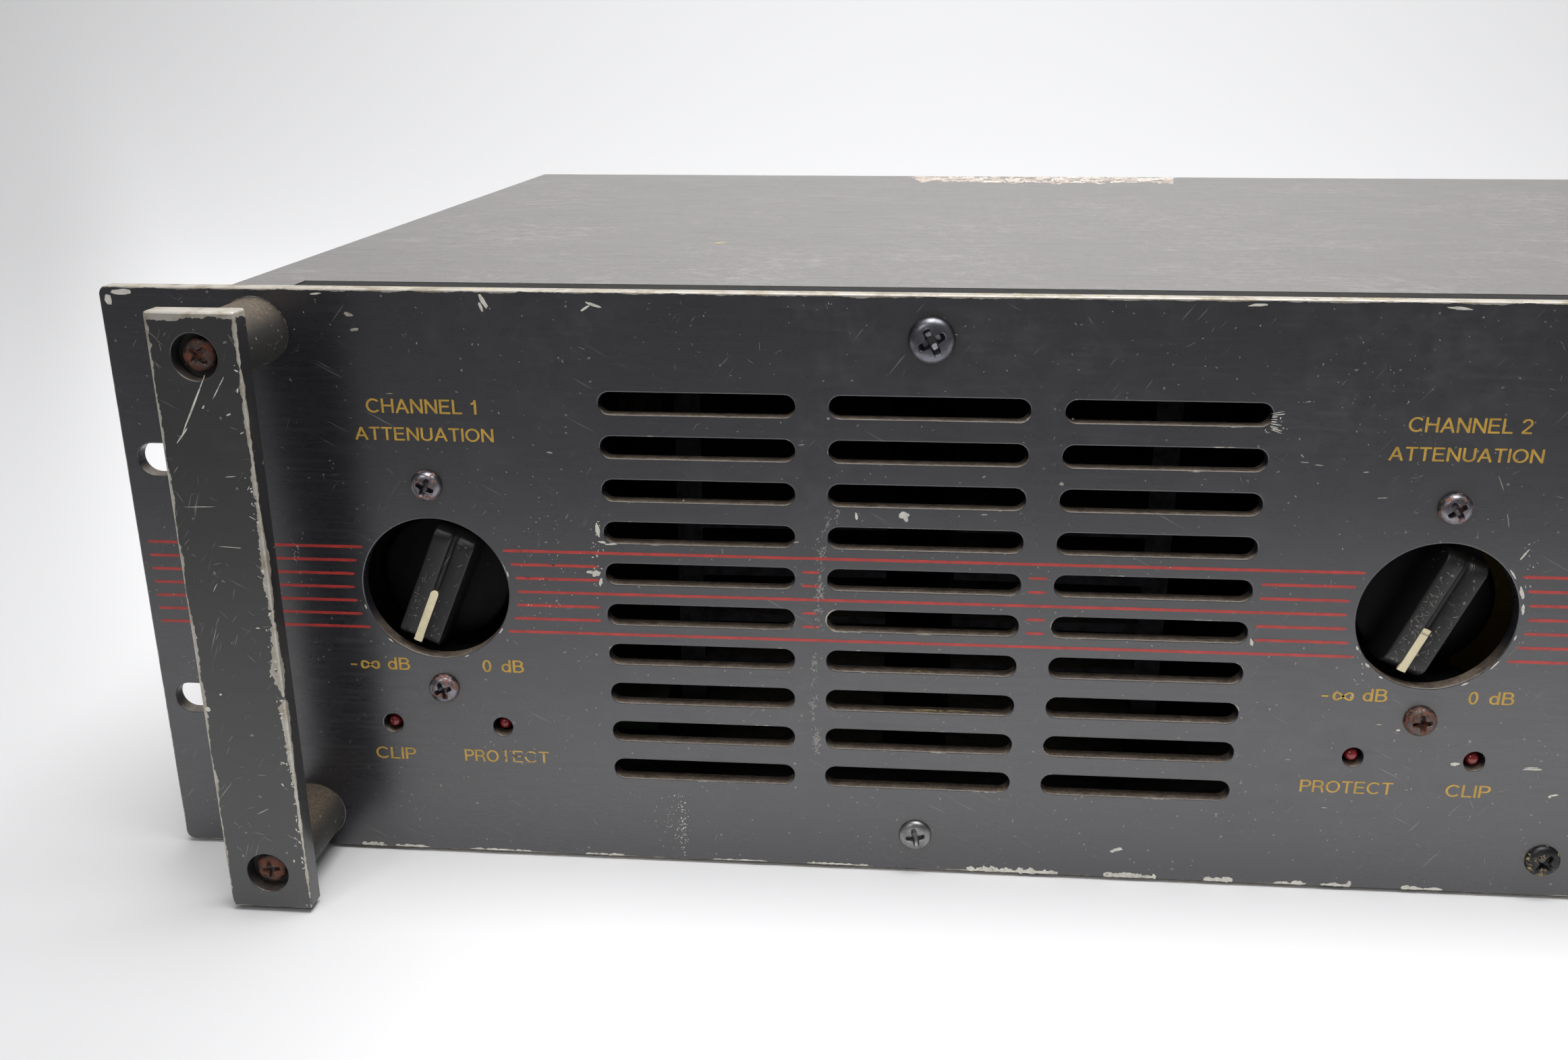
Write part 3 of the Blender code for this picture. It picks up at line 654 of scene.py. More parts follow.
@dataclass(frozen=True)
class Metal(Finish):
    """Plated or bare metal with stains, fine grain and rust."""

    roughness: float = 0.35
    rust: float = 0.0
    brushed: float = 0.0
    dust: float = 0.0
    rust_colour: Colour = (0.085, 0.032, 0.018)

    def sockets(self, graph: Graph, position: Value) -> dict[str, object]:
        """Metal darkened by tarnish, under rust where a noise passes a limit, under dust."""
        tarnish = graph.noise(position, 330.0, 5.0, 0.65)
        colour = graph.blend(graph.band(tarnish, 0.35, 0.75), self.colour, tint(self.colour, 0.45))
        patches = graph.noise(graph.scaled(position, 1.0, 1.0, 1.0, 0.37), 620.0, 5.0, 0.7)
        rust = graph.band(patches, 0.72 - 0.42 * self.rust, 0.80 - 0.38 * self.rust) * min(1.0, self.rust * 2.5)
        crust = graph.blend(graph.noise(position, 2300.0), self.rust_colour, tint(self.rust_colour, 2.3))
        dust = graph.group(DUST, Position=position, Amount=self.dust)[0]
        cover = rust.at_least(dust)
        lines = graph.noise(graph.scaled(position, 40.0, 40.0, 1800.0), 1.0, 2.0)
        height = lines * self.brushed + rust * graph.noise(position, 3000.0)
        return {"Base Color": graph.blend(dust, graph.blend(rust, colour, crust), (0.17, 0.14, 0.11)),
                "Metallic": (1.0 - cover).clamped(),
                "Roughness": (tarnish * 0.18 + self.roughness + cover * 0.4).clamped(),
                "Normal": graph.bump(height, 0.5, 0.00012)}


@dataclass(frozen=True)
class Plastic(Finish):
    """Moulded plastic, lens or rubber, with grain, dust and fine scratches."""

    roughness: float = 0.42
    dust: float = 0.35
    specks: float = 0.10
    coat: float = 0.0
    grain: float = 0.25
    speck_colour: Colour = (0.26, 0.24, 0.21)
    hairlines: float = 0.0
    shine: float = 0.5

    def sockets(self, graph: Graph, position: Value) -> dict[str, object]:
        """Plastic paled by handling, under specks, hairlines and dust."""
        smudge, _, grain = graph.group(HANDLING, Position=position)
        colour = graph.blend(smudge * 0.8, self.colour, tint(self.colour, 1.5, 0.006))
        specks = graph.group(SPECKS, Position=position, Scale=900.0, Density=self.specks, Size=0.2)[0]
        colour = graph.blend(specks * 0.6, colour, self.speck_colour)
        if self.hairlines:
            lines = graph.group(HAIRLINES, Position=position, Amount=self.hairlines)[0]
            colour = graph.blend(lines, colour, (0.22, 0.21, 0.19))
        dust = graph.group(DUST, Position=position, Amount=self.dust)[0]
        return {"Base Color": graph.blend(dust, colour, (0.13, 0.11, 0.09)),
                "Roughness": (smudge * 0.2 + self.roughness + dust * 0.4).clamped(),
                "Coat Weight": self.coat, "Specular IOR Level": self.shine,
                "Normal": graph.bump(grain * self.grain, 0.3, 0.00008)}


@dataclass(frozen=True)
class Ink(Finish):
    """Ink or bare marks on glossy paint, rubbed thin in places; where gone, the paint's own look shows."""

    under: Colour
    loss: float = 0.2
    roughness: float = 0.42
    shine: float = 0.82
    ior: float = 1.72
    polish: float = 0.27

    def sockets(self, graph: Graph, position: Value) -> dict[str, object]:
        """The ink's colour gives way to the paint's where a noise passes the loss."""
        amount = graph.noise(position, 700.0, 4.0, 0.7) + graph.noise(position, 90.0, 3.0, 0.5) * 0.55
        gone = graph.band(amount, 1.04 - self.loss, 1.14 - self.loss)
        shade = graph.blend(graph.band(graph.noise(position, 320.0), 0.3, 0.7), self.colour,
                            tint(self.colour, 0.72))
        return {"Base Color": graph.blend(gone, shade, self.under),
                "Roughness": gone * (self.polish - self.roughness) + self.roughness,
                "Specular IOR Level": self.shine, "IOR": self.ior}


@dataclass(frozen=True)
class Paper(Finish):
    """Matt paper with painted shade: it darkens to grey in front of the amplifier and to its left, standing in for
    light that falls off.
    """

    grey: Colour = (0.16, 0.16, 0.165)
    front_shade_band: tuple[float, float] = (-0.45, -0.20)
    left_shade_band: tuple[float, float] = (-0.38, -0.22)

    def sockets(self, graph: Graph, position: Value) -> dict[str, object]:
        """Painted shade: grey by depth in front, and by a slanting line at the left that weakens with depth."""
        x, y, _ = graph.parts(position)
        # painted shade, darker towards the left and towards the front
        left = graph.band(x + y * 0.6, *self.left_shade_band, 0.38, 0.0) * graph.band(y, 0.1, 1.9, 1.0, 0.0)
        pale = graph.band(y, *self.front_shade_band) * (1.0 - left)
        return {"Base Color": graph.blend(pale, self.grey, self.colour), "Roughness": 0.85}


class Finishes:
    """Every finish of the amplifier and its studio."""

    charcoal = (0.0150, 0.0150, 0.0195)
    grit = (0.20, 0.18, 0.165)
    panel = Paint("panel_paint", charcoal, worn=Worn.PANEL, roughness=0.27, dust=0.92, shine=0.82, ior=1.72,
                  haze=0.004, bare=(0.46, 0.43, 0.375), specks=0.10, dirt=(0.115, 0.086, 0.060))
    handle = Paint("handle_paint", (0.016, 0.016, 0.0175), worn=Worn.HANDLE, roughness=0.34, dust=0.25,
                   specks=0.08, shine=0.70, ior=1.7, haze=0.005, bare=(0.52, 0.49, 0.43), hairlines=0.8)
    post = Paint("post_paint", (0.034, 0.032, 0.030), roughness=0.55, dust=0.5, specks=0.4,
                 dirt=(0.10, 0.07, 0.04))
    cover = Paint("cover_paint", (0.092, 0.085, 0.083), worn=Worn.COVER, roughness=0.33, dust=0.14, specks=0.30,
                  dirt=grit, grain=0.15, shine=1.0, ior=1.75, haze=0.12, patchy=0.30, rubbed=0.8, hairlines=0.7)
    case = Paint("case_paint", (0.050, 0.0465, 0.0455), roughness=0.36, dust=0.14, dirt=grit, grain=0.3,
                 shine=0.7, haze=0.02)
    # Near-black paint on the front frame, the knob straps and the seam strip: painted shade for the inside of the
    # case.
    inner = Paint("inner_shade_paint", (0.003, 0.003, 0.003), roughness=0.6, dust=0.08, specks=0.02,
                  dirt=(0.02, 0.018, 0.016), shine=0.25, haze=0.001, hairlines=0.05)
    screw = Metal("screw_plating", (0.27, 0.26, 0.285), roughness=0.24, rust=0.46,
                  rust_colour=(0.15, 0.058, 0.032))
    rusty = Metal("rusty_screw", (0.15, 0.12, 0.11), roughness=0.38, rust=0.58, rust_colour=(0.11, 0.040, 0.022))
    dark = Metal("dark_screw", (0.20, 0.20, 0.225), roughness=0.24, rust=0.20)
    bright = Metal("worn_screw", (0.30, 0.30, 0.30), roughness=0.30, rust=0.10)
    blackened = Metal("blackened_screw", (0.055, 0.055, 0.058), roughness=0.34, rust=0.42,
                      rust_colour=(0.26, 0.20, 0.10))
    # The cross recess gets near-black steel: painted shade in the cross, with real rust on it.
    recess = Metal("screw_recess", (0.010, 0.007, 0.006), roughness=0.6, rust=0.50,
                   rust_colour=(0.10, 0.034, 0.016))
    zinc = Metal("zinc_plating", (0.50, 0.49, 0.46), roughness=0.38, brushed=0.2, dust=0.5)
    alloy = Metal("heatsink_alloy", (0.030, 0.030, 0.034), roughness=0.5, brushed=0.3, dust=0.6)
    nickel = Metal("nickel_plating", (0.62, 0.58, 0.52), roughness=0.25, dust=0.3)
    foam = Plastic("filter_foam", (0.006, 0.006, 0.006), roughness=0.9, dust=0.1, grain=1.0)
    knob = Plastic("knob_plastic", (0.0075, 0.0075, 0.008), roughness=0.36, dust=0.10, hairlines=1.0)
    # The knob's skirt gets a near-black, low-shine copy of the knob plastic: painted shade for the recess behind the
    # panel.
    skirt_shade = Plastic("knob_skirt", (0.0012, 0.0012, 0.0013), roughness=0.40, dust=0.02, specks=0.02, shine=0.12)
    black = Plastic("black_plastic", (0.014, 0.014, 0.015), roughness=0.45, dust=0.4)
    cream = Plastic("cream_pointer", (0.78, 0.69, 0.46), roughness=0.5, dust=0.0, specks=0.05,
                    speck_colour=(0.2, 0.15, 0.08))
    lens = Plastic("red_lens", (0.20, 0.006, 0.008), roughness=0.16, dust=0.0, specks=0.03, coat=0.6,
                   grain=0.0, speck_colour=(0.4, 0.3, 0.3))
    board = Plastic("board_laminate", (0.05, 0.10, 0.035), roughness=0.5, dust=0.8)
    sleeve = Plastic("capacitor_sleeve", (0.03, 0.06, 0.20), roughness=0.35, dust=0.5)
    tape = Plastic("winding_tape", (0.36, 0.24, 0.05), roughness=0.45, dust=0.4)
    gold = Ink("gold_ink", (0.66, 0.40, 0.060), charcoal, loss=0.06, shine=0.35)
    faded = Ink("faded_gold_ink", (0.60, 0.38, 0.08), charcoal, loss=0.26, shine=0.5)
    red = Ink("red_ink", (0.54, 0.032, 0.024), charcoal, loss=0.08, shine=0.5)
    bare = Ink("bare_chips", (0.80, 0.77, 0.68), (0.30, 0.27, 0.22), loss=0.16, roughness=0.6)
    primer = Ink("primer_chips", (0.40, 0.37, 0.30), (0.11, 0.10, 0.08), loss=0.26, roughness=0.6)
    amber = Ink("amber_chips", (0.62, 0.48, 0.24), (0.20, 0.15, 0.07), loss=0.30, roughness=0.6)
    foot = Ink("foot_grime", (0.15, 0.095, 0.045), charcoal, loss=0.42, roughness=0.7)
    scrape = Ink("grey_scrape", (0.30, 0.285, 0.26), charcoal, loss=0.26, roughness=0.5)
    residue = Ink("tape_residue", (0.70, 0.65, 0.59), (0.34, 0.24, 0.17), loss=0.32, shine=0.3, roughness=0.7)
    # the paper's grey in front and at the left is painted shade
    paper = Paper("paper", (0.86, 0.86, 0.87))


def attach(piece: bpy.types.Object, finish: Finish, *nodes: str, body: str = "chassis",
           slot: str = "charcoal_paint") -> bpy.types.Object:
    """Give a piece its finish and body, and hide the frame nodes it stands for."""
    piece.data.materials.clear()
    piece.data.materials.append(finish.material())
    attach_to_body(piece, body)
    if nodes:
        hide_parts(*nodes)
    LOG.info("%s: %d faces on %s", piece.name, len(piece.data.polygons), body)
    return piece


# Lettering ----------------------------------------------------------------------------------

def arc(x: float, z: float, wide: float, tall: float, start: float, end: float, steps: int = 14) -> list:
    """Points on an ellipse from one angle to another in degrees: (x + wide cos a, z + tall sin a)."""
    angle = np.radians(np.linspace(start, end, steps))
    return np.stack([x + wide * np.cos(angle), z + tall * np.sin(angle)], axis=-1).tolist()


@dataclass
class Lettering:
    """Plain sans-serif capitals drawn as strokes of one even width, on a capital height of 1."""

    stroke: float = 0.125
    gap: float = 0.075
    layer: float = 0.006

    def glyphs(self) -> dict[str, tuple[float, list]]:
        """Width and strokes of each sign."""
        low, high, middle = 0.0625, 0.9375, 0.52
        stem = [(0.08, 0), (0.08, 1)]
        bowl = [(0.08, high), (0.36, high)] + arc(0.36, 0.705, 0.2, 0.2325, 90, -90) + [(0.08, 0.4725)]
        loop = np.linspace(0, 2 * np.pi, 49)
        endless = np.stack([0.50 + 0.40 * np.sin(loop), 0.38 + 0.56 * np.sin(loop) * np.cos(loop)], axis=-1)
        return {
            "A": (0.72, [[(0.05, 0), (0.36, 0.97)], [(0.67, 0), (0.36, 0.97)], [(0.16, 0.33), (0.56, 0.33)]]),
            "B": (0.64, [stem, [(0.08, high), (0.34, high)] + arc(0.34, 0.735, 0.18, 0.2025, 90, -90)
                         + [(0.08, 0.5325)],
                         [(0.34, 0.5325), (0.36, 0.5325)] + arc(0.36, 0.2975, 0.21, 0.235, 90, -90)
                         + [(0.08, low)]]),
            "C": (0.74, [arc(0.40, 0.5, 0.34, 0.4375, 42, 318, 24)]),
            "E": (0.62, [stem] + [[(0.08, z), (x, z)] for z, x in ((high, 0.58), (middle, 0.54), (low, 0.60))]),
            "H": (0.70, [stem, [(0.62, 0), (0.62, 1)], [(0.08, middle), (0.62, middle)]]),
            "I": (0.16, [stem]),
            "L": (0.54, [stem, [(0.08, low), (0.54, low)]]),
            "N": (0.70, [stem, [(0.10, 0.93), (0.60, 0.07)], [(0.62, 0), (0.62, 1)]]),
            "O": (0.78, [arc(0.39, 0.5, 0.33, 0.4375, 0, 360, 33)]),
            "P": (0.60, [stem, bowl]),
            "R": (0.68, [stem, bowl, [(0.36, 0.47), (0.50, 0.41), (0.56, 0.30), (0.58, 0.12), (0.63, 0)]]),
            "T": (0.60, [[(0.30, 0), (0.30, 0.94)], [(0.0, high), (0.60, high)]]),
            "U": (0.68, [[(0.08, 1), (0.08, 0.32)] + arc(0.34, 0.32, 0.26, 0.2575, 180, 360) + [(0.60, 1)]]),
            "d": (0.54, [[(0.46, 0), (0.46, 1)], arc(0.26, 0.355, 0.2, 0.2925, 0, 360, 25)]),
            "0": (0.52, [arc(0.26, 0.5, 0.2, 0.4375, 0, 360, 29)]),
            "1": (0.40, [[(0.30, 0), (0.30, 1)], [(0.08, 0.72), (0.20, 0.76), (0.29, 0.92)]]),
            "2": (0.56, [arc(0.28, 0.70, 0.21, 0.2375, 175, -35, 16) + [(0.12, 0.14), (0.07, low)],
                         [(0.05, low), (0.54, low)]]),
            "-": (0.36, [[(0.0, 0.36), (0.30, 0.36)]]),
            "~": (1.0, [endless.tolist()]),
            " ": (0.26, []),
        }

    def ribbon(self, line: list) -> np.ndarray:
        """Pairs of points on both sides of a line, along its normal, lengthened at a corner."""
        path = np.array(line, float)
        path = path[np.concatenate([[True], np.linalg.norm(np.diff(path, axis=0), axis=1) > 1e-6])]
        closed = len(path) > 4 and np.allclose(path[0], path[-1])
        along = np.diff(path, axis=0)
        along /= np.linalg.norm(along, axis=1, keepdims=True)
        before = np.vstack([along[-1:] if closed else along[:1], along])
        after = np.vstack([along, along[:1] if closed else along[-1:]])
        mean = before + after
        mean /= np.linalg.norm(mean, axis=1, keepdims=True)
        stretch = 1 / np.clip((mean * after).sum(axis=1), 0.6, 1)
        across = np.stack([-mean[:, 1], mean[:, 0]], axis=-1) * (self.stroke / 2 * stretch)[:, None]
        return np.stack([path - across, path + across], axis=1)

    def word(self, text: str, low_x: float, high_x: float, low_z: float, high_z: float) -> tuple:
        """A word fitted to a box.

        Args:
            text: the signs.
            low_x: left side in panel millimetres.
            high_x: right side.
            low_z: foot.
            high_z: top of the capitals.

        Returns:
            Points whose y is the stroke's layer, and quads.
        """
        parts, pen = Parts(), 0.0
        glyphs = self.glyphs()
        for sign in text:
            width, strokes = glyphs[sign]
            for layer, line in enumerate(strokes):
                pairs = self.ribbon(line).reshape(-1, 2) + [pen, 0]
                parts.add(np.insert(pairs, 1, -layer * self.layer, axis=1), grid_faces(len(pairs) // 2, 2))
            pen += width + self.gap
        flat = np.concatenate(parts.points)
        flat[:, 0] = low_x + flat[:, 0] * (high_x - low_x) / (pen - self.gap)
        flat[:, 2] = low_z + flat[:, 2] * (high_z - low_z)
        return flat, parts.faces


# Front panel --------------------------------------------------------------------------------

@dataclass
class FrontPanel:
    """The rack panel with its printed stripes and lettering."""

    rim: float = 0.45
    hole_rim: float = 0.3
    stripes: int = 7
    broken_stripes: tuple[int, ...] = (1, 2, 4, 5)
    stripe_pitch: float = 3.175
    stripe_width: float = 0.68
    stripe_gap: float = 18.4
    stripe_margin: float = 1.5
    stripe_end: float = 2.25
    switch_gap: float = 14.5
    proud: float = 0.025
    vent_inset: tuple[float, float] = (0.1, 0.3)
    rack_slot: tuple[float, float] = (11.5, 7.1)
    knob_hole: float = 32.8
    lamp_hole: float = 4.5
    switch_hole: tuple[float, float] = (22.0, 30.0)

    def vents(self) -> list[Edge]:
        """The ventilation slots, three columns of equal rows."""
        length, tall = LAYOUT.vent_length - self.vent_inset[0], 2 * LAYOUT.vent_radius - self.vent_inset[1]
        return [Edge(Outline.SLOT, x, LAYOUT.vent_row(row), length, tall, steps=8)
                for x in LAYOUT.vent_columns for row in range(LAYOUT.vent_rows)]

    def build_plate(self) -> None:
        """The panel with rounded slots and holes."""
        outer = Edge(Outline.BOX, 0, LAYOUT.middle, LAYOUT.width, LAYOUT.height, 2.0)
        holes = self.vents()
        holes += [Edge(Outline.SLOT, side * LAYOUT.rack_x, LAYOUT.middle + level * LAYOUT.rack_rise, *self.rack_slot)
                  for side in (-1, 1) for level in (-1, 1)]
        for x in LAYOUT.knobs.values():
            holes.append(Edge(Outline.ROUND, x, LAYOUT.middle, self.knob_hole, self.knob_hole, steps=24))
            holes += [Edge(Outline.ROUND, x + side * LAYOUT.lamp_offset, LAYOUT.lamp_z, self.lamp_hole,
                           self.lamp_hole, steps=8) for side in (-1, 1)]
        holes.append(Edge(Outline.BOX, LAYOUT.switch_x, LAYOUT.middle, *self.switch_hole, 0.5, steps=4))
        piece = plate("panel", outer, holes, 0.0, LAYOUT.thick, self.rim, self.hole_rim)
        attach(piece, Finishes.panel, "front_panel")

    def stripe_spans(self, rise: float, inner: bool) -> list[tuple[float, float]]:
        """Where one stripe is printed: it stops short of the knobs, the slots and the switch."""
        left, right = LAYOUT.knobs["left"], LAYOUT.knobs["right"]
        chord = math.sqrt(max(self.stripe_gap ** 2 - rise ** 2, 0))
        stop = LAYOUT.width / 2 - self.stripe_end
        half = LAYOUT.vent_length / 2 + self.stripe_margin
        gaps = [(left, chord)] + [(x, half) for x in LAYOUT.vent_columns if inner]
        gaps += [(right, chord), (LAYOUT.switch_x, self.switch_gap)]
        ends = [-stop] + [x + side * reach for x, reach in gaps for side in (-1, 1)] + [stop]
        return list(zip(ends[::2], ends[1::2]))

    def build_stripes(self) -> None:
        """The pinstripes: each is a row of flat strips whose two edges waver a little."""
        random = np.random.default_rng(7)
        parts = Parts()
        for index in range(self.stripes):
            rise = ((self.stripes - 1) / 2 - index) * self.stripe_pitch
            for low, high in self.stripe_spans(rise, index in self.broken_stripes):
                steps = max(int((high - low) / 1.2), 3)
                x = np.linspace(low, high, steps)
                half = self.stripe_width / 2 * (1 + random.uniform(-0.10, 0.10, (steps, 2)))
                half[[0, -1]] *= 0.72
                z = LAYOUT.middle + rise + half * [-1, 1]
                x, y = np.repeat(x[:, None], 2, 1), np.full((steps, 2), -self.proud)
                parts.add(np.stack([x, y, z], axis=-1), grid_faces(steps, 2))
        attach(parts.front_piece("pinstripes"), Finishes.red)

    def build_lettering(self) -> None:
        """Channel names, attenuation, scale ends and lamp names in gold; one word has worn thin."""
        words = []
        for name, x in zip("12", LAYOUT.knobs.values()):
            words += [(f"CHANNEL {name}", x - 11.6, x + 12.4, 106.2, 109.3),
                      ("ATTENUATION", x - 14.6, x + 15.6, 100.2, 103.1),
                      ("-~", x - 21.3, x - 14.3, 46.3, 49.3), ("dB", x - 12.7, x - 7.5, 46.4, 49.4),
                      ("0", x + 9.2, x + 11.2, 46.5, 49.5), ("dB", x + 13.5, x + 18.7, 46.6, 49.6)]
        first, second = LAYOUT.knobs.values()
        words += [("CLIP", first - 17.6, first - 8.2, 23.7, 26.7), ("PRO", first + 3.3, first + 11.3, 23.8, 26.8),
                  ("PROTECT", second - 23.3, second - 3.4, 24.0, 27.0),
                  ("CLIP", second + 7.8, second + 17.2, 24.1, 27.1)]
        worn = [("TECT", first + 11.8, first + 23.1, 23.9, 26.9)]
        for name, group, finish in (("lettering", words, Finishes.gold), ("worn_lettering", worn, Finishes.faded)):
            parts = Parts()
            for word in group:
                flat, quads = Lettering().word(*word)
                parts.add(flat - [0, self.proud, 0], quads)
            attach(parts.front_piece(name), finish)

    def build(self) -> None:
        """Build the whole panel."""
        self.build_plate()
        self.build_stripes()
        self.build_lettering()


def drawn(random: np.random.Generator, count: int, *ranges: tuple[float, float]) -> np.ndarray:
    """One column of evenly spread random numbers for each range."""
    return np.column_stack([random.uniform(low, high, count) for low, high in ranges])


def flakes(name: str, marks: np.ndarray, level: float, seed: int, lying: bool = False,
           corners: int = 20) -> bpy.types.Object:
    """Flat ragged flakes.

    A flake is a polygon about its centre: radius 1 plus noise, stretched to its length and width,
    turned, and laid just off the face.

    Args:
        name: the piece's name.
        marks: rows of x from the panel's left edge, z or y, length, width, angle in degrees.
        level: y of standing flakes, z of lying ones; each is a hair above the one before.
        seed: seed of the ragged outlines.
        lying: the flakes lie on a level face, not on a front one.
        corners: points on an outline.

    Returns:
        The piece.
    """
    random = np.random.default_rng(seed)
    x, other, length, width, angle = np.asarray(marks, float).T[:, :, None]
    turn = np.linspace(0, 2 * np.pi, corners, endpoint=False)[None, :]
    noise = random.uniform(-1, 1, (len(marks), corners))
    noise = 1 + 0.3 * (0.65 * noise + 0.35 * np.roll(noise, 1, axis=1))
    along = length / 2 * np.cos(turn) * noise
    across = width / 2 * np.sin(turn) * noise
    cosine, sine = np.cos(np.radians(angle)), np.sin(np.radians(angle))
    flat_x = x - LAYOUT.width / 2 + along * cosine - across * sine
    flat_other = other + along * sine + across * cosine
    lift = np.linspace(0, 0.012, len(marks))[:, None] * (1 if lying else -1)
    fixed = level + np.broadcast_to(lift, along.shape)
    faces = np.arange(len(marks) * corners).reshape(len(marks), corners).tolist()
    if lying:
        return new_piece(name, np.stack([flat_x, flat_other, fixed], axis=-1), faces, smooth=False, seal=False)
    return front_piece(name, np.stack([flat_x, fixed, flat_other], axis=-1), faces)


@dataclass
class Damage:
    """Chips, scratches and specks on the panel.

    Rows of pale and dull hold x from the panel's left edge, z, length, width and angle; rim_chips hold
    angle, length and width round a knob's hole; lower_chips hold a run's ends and its height; scrape
    holds x, z, width and height; clouds hold x, z, two spreads, a count and the largest size.
    """

    pale: list = field(default_factory=lambda: [
        (82.2, 130.2, 3.6, 0.9, -62), (81.6, 129.0, 2.2, 0.6, -70), (105.0, 129.7, 3.4, 0.55, -18),
        (103.4, 129.0, 2.0, 0.5, 30), (5.2, 131.2, 5.0, 1.1, 0), (2.0, 129.6, 1.4, 2.4, 0),
        (46.8, 131.3, 2.2, 0.4, 4), (103.7, 81.2, 0.9, 3.0, 8), (104.6, 78.3, 1.8, 0.5, -10),
        (106.6, 77.9, 2.6, 0.35, 3), (103.0, 71.0, 1.9, 1.3, 12), (101.6, 71.3, 1.6, 0.7, 0),
        (103.9, 69.0, 0.7, 1.9, -12), (169.4, 86.1, 1.9, 1.5, 10), (169.9, 85.2, 0.9, 1.2, 0),
        (159.4, 85.6, 0.6, 1.6, 8), (219.7, 7.4, 2.4, 0.9, 14), (218.6, 6.9, 0.9, 0.7, 0),
        (290.0, 32.1, 1.7, 0.9, 4), (306.5, 31.5, 4.2, 0.40, 2), (311.8, 25.4, 1.9, 0.45, 12),
        (311.0, 25.0, 0.7, 0.6, 0), (237.6, 131.3, 4.0, 0.5, 3), (306.0, 31.9, 3.0, 0.30, 4),
        (276.0, 131.1, 4.4, 0.6, -3), (243.9, 59.4, 0.6, 1.8, 18),
        (277.0, 39.8, 1.0, 0.5, 8), (296.5, 80.8, 0.4, 2.6, -30)])
    dull: list = field(default_factory=lambda: [
        (53.4, 127.1, 2.1, 0.7, -12), (54.4, 123.9, 1.9, 0.6, 4), (36.4, 75.5, 0.7, 0.5, 0),
        (94.2, 98.2, 1.3, 0.3, -12), (60.6, 110.4, 1.6, 0.2, 3), (249.6, 100.8, 0.9, 0.25, -50),
        (250.2, 99.4, 1.8, 0.22, -4), (253.0, 98.9, 2.4, 0.22, -3), (262.6, 97.6, 1.2, 0.25, 6),
        (266.6, 92.2, 1.9, 0.25, 2), (203.2, 107.6, 0.4, 0.4, 0), (153.3, 106.7, 0.6, 0.5, 0),
        (201.8, 93.7, 0.9, 0.7, -30), (185.8, 94.9, 0.9, 0.35, 40), (186.2, 86.6, 1.3, 0.3, 4),
        (146.6, 79.4, 1.2, 0.35, 5), (147.8, 101.0, 1.6, 0.2, 8), (254.6, 31.8, 1.1, 0.3, 0),
        (272.8, 41.0, 1.2, 0.35, -4), (263.8, 20.2, 1.2, 0.25, 0), (252.2, 68.4, 0.4, 0.3, 0),
        (122.6, 88.2, 0.5, 0.3, 0), (88.4, 74.6, 1.3, 0.16, -40), (97.2, 84.0, 1.4, 0.14, 60),
        (99.4, 37.6, 1.4, 0.16, -60), (95.0, 52.0, 0.9, 0.16, 30), (281.0, 90.4, 3.4, 0.14, -68),
        (289.4, 95.8, 3.6, 0.14, -64), (292.0, 88.0, 3.0, 0.16, -74), (249.2, 112.0, 1.6, 0.2, 8)])
    rays: tuple = (242.6, 107.6)
    rim_chips: dict = field(default_factory=lambda: {
        "right": [(36, 2.4, 0.40), (20, 3.2, 0.75), (8, 2.4, 0.60), (-14, 1.2, 0.35), (-38, 2.2, 0.30),
                  (-62, 1.6, 0.35), (206, 1.0, 0.45), (222, 1.4, 0.50), (236, 0.9, 0.40)],
        "left": [(14, 1.4, 0.30), (-34, 1.6, 0.30), (-70, 1.0, 0.25), (196, 1.1, 0.30), (228, 1.3, 0.35)]})
    lower_chips: list = field(default_factory=lambda: [
        (187, 207, 1.0), (218, 229, 0.9), (240, 246, 1.0), (256, 262, 0.7), (266, 272, 1.0), (284, 292, 0.8),
        (44, 49, 0.7), (52, 60, 0.5), (70, 84, 0.35), (98, 106, 0.35), (128, 140, 0.3), (150, 163, 0.4)])
    scrape: list = field(default_factory=lambda: [
        (155.4, 87.6, 1.0, 5.0), (153.4, 82.0, 1.3, 5.6), (152.2, 75.6, 2.6, 7.4), (151.8, 68.4, 1.7, 6.6),
        (151.4, 62.0, 1.6, 3.6), (150.8, 50.6, 1.2, 4.6), (150.6, 41.0, 1.5, 6.0), (151.4, 32.6, 1.7, 5.0)])
    margin: float = 0.9
    edge_margin: float = 1.0
    rack_clearance: float = 4.6
    switch_clearance: tuple[float, float] = (13.5, 18.0)
    clouds: list = field(default_factory=lambda: [
        (120.2, 8.0, 0.65, 4.6, 70, 0.55), (118.0, 9.0, 2.0, 5.0, 40, 0.3), (243.0, 108.0, 1.2, 1.6, 30, 0.55),
        (103.4, 75.0, 0.8, 5.0, 26, 0.55), (36.0, 73.0, 1.2, 4.0, 22, 0.4), (266.0, 112.0, 12.0, 8.0, 40, 0.22),
        (91.0, 74.0, 4.0, 9.0, 60, 0.35), (297.5, 72.0, 0.6, 5.5, 26, 0.55), (266.5, 51.0, 1.0, 2.0, 12, 0.55)])

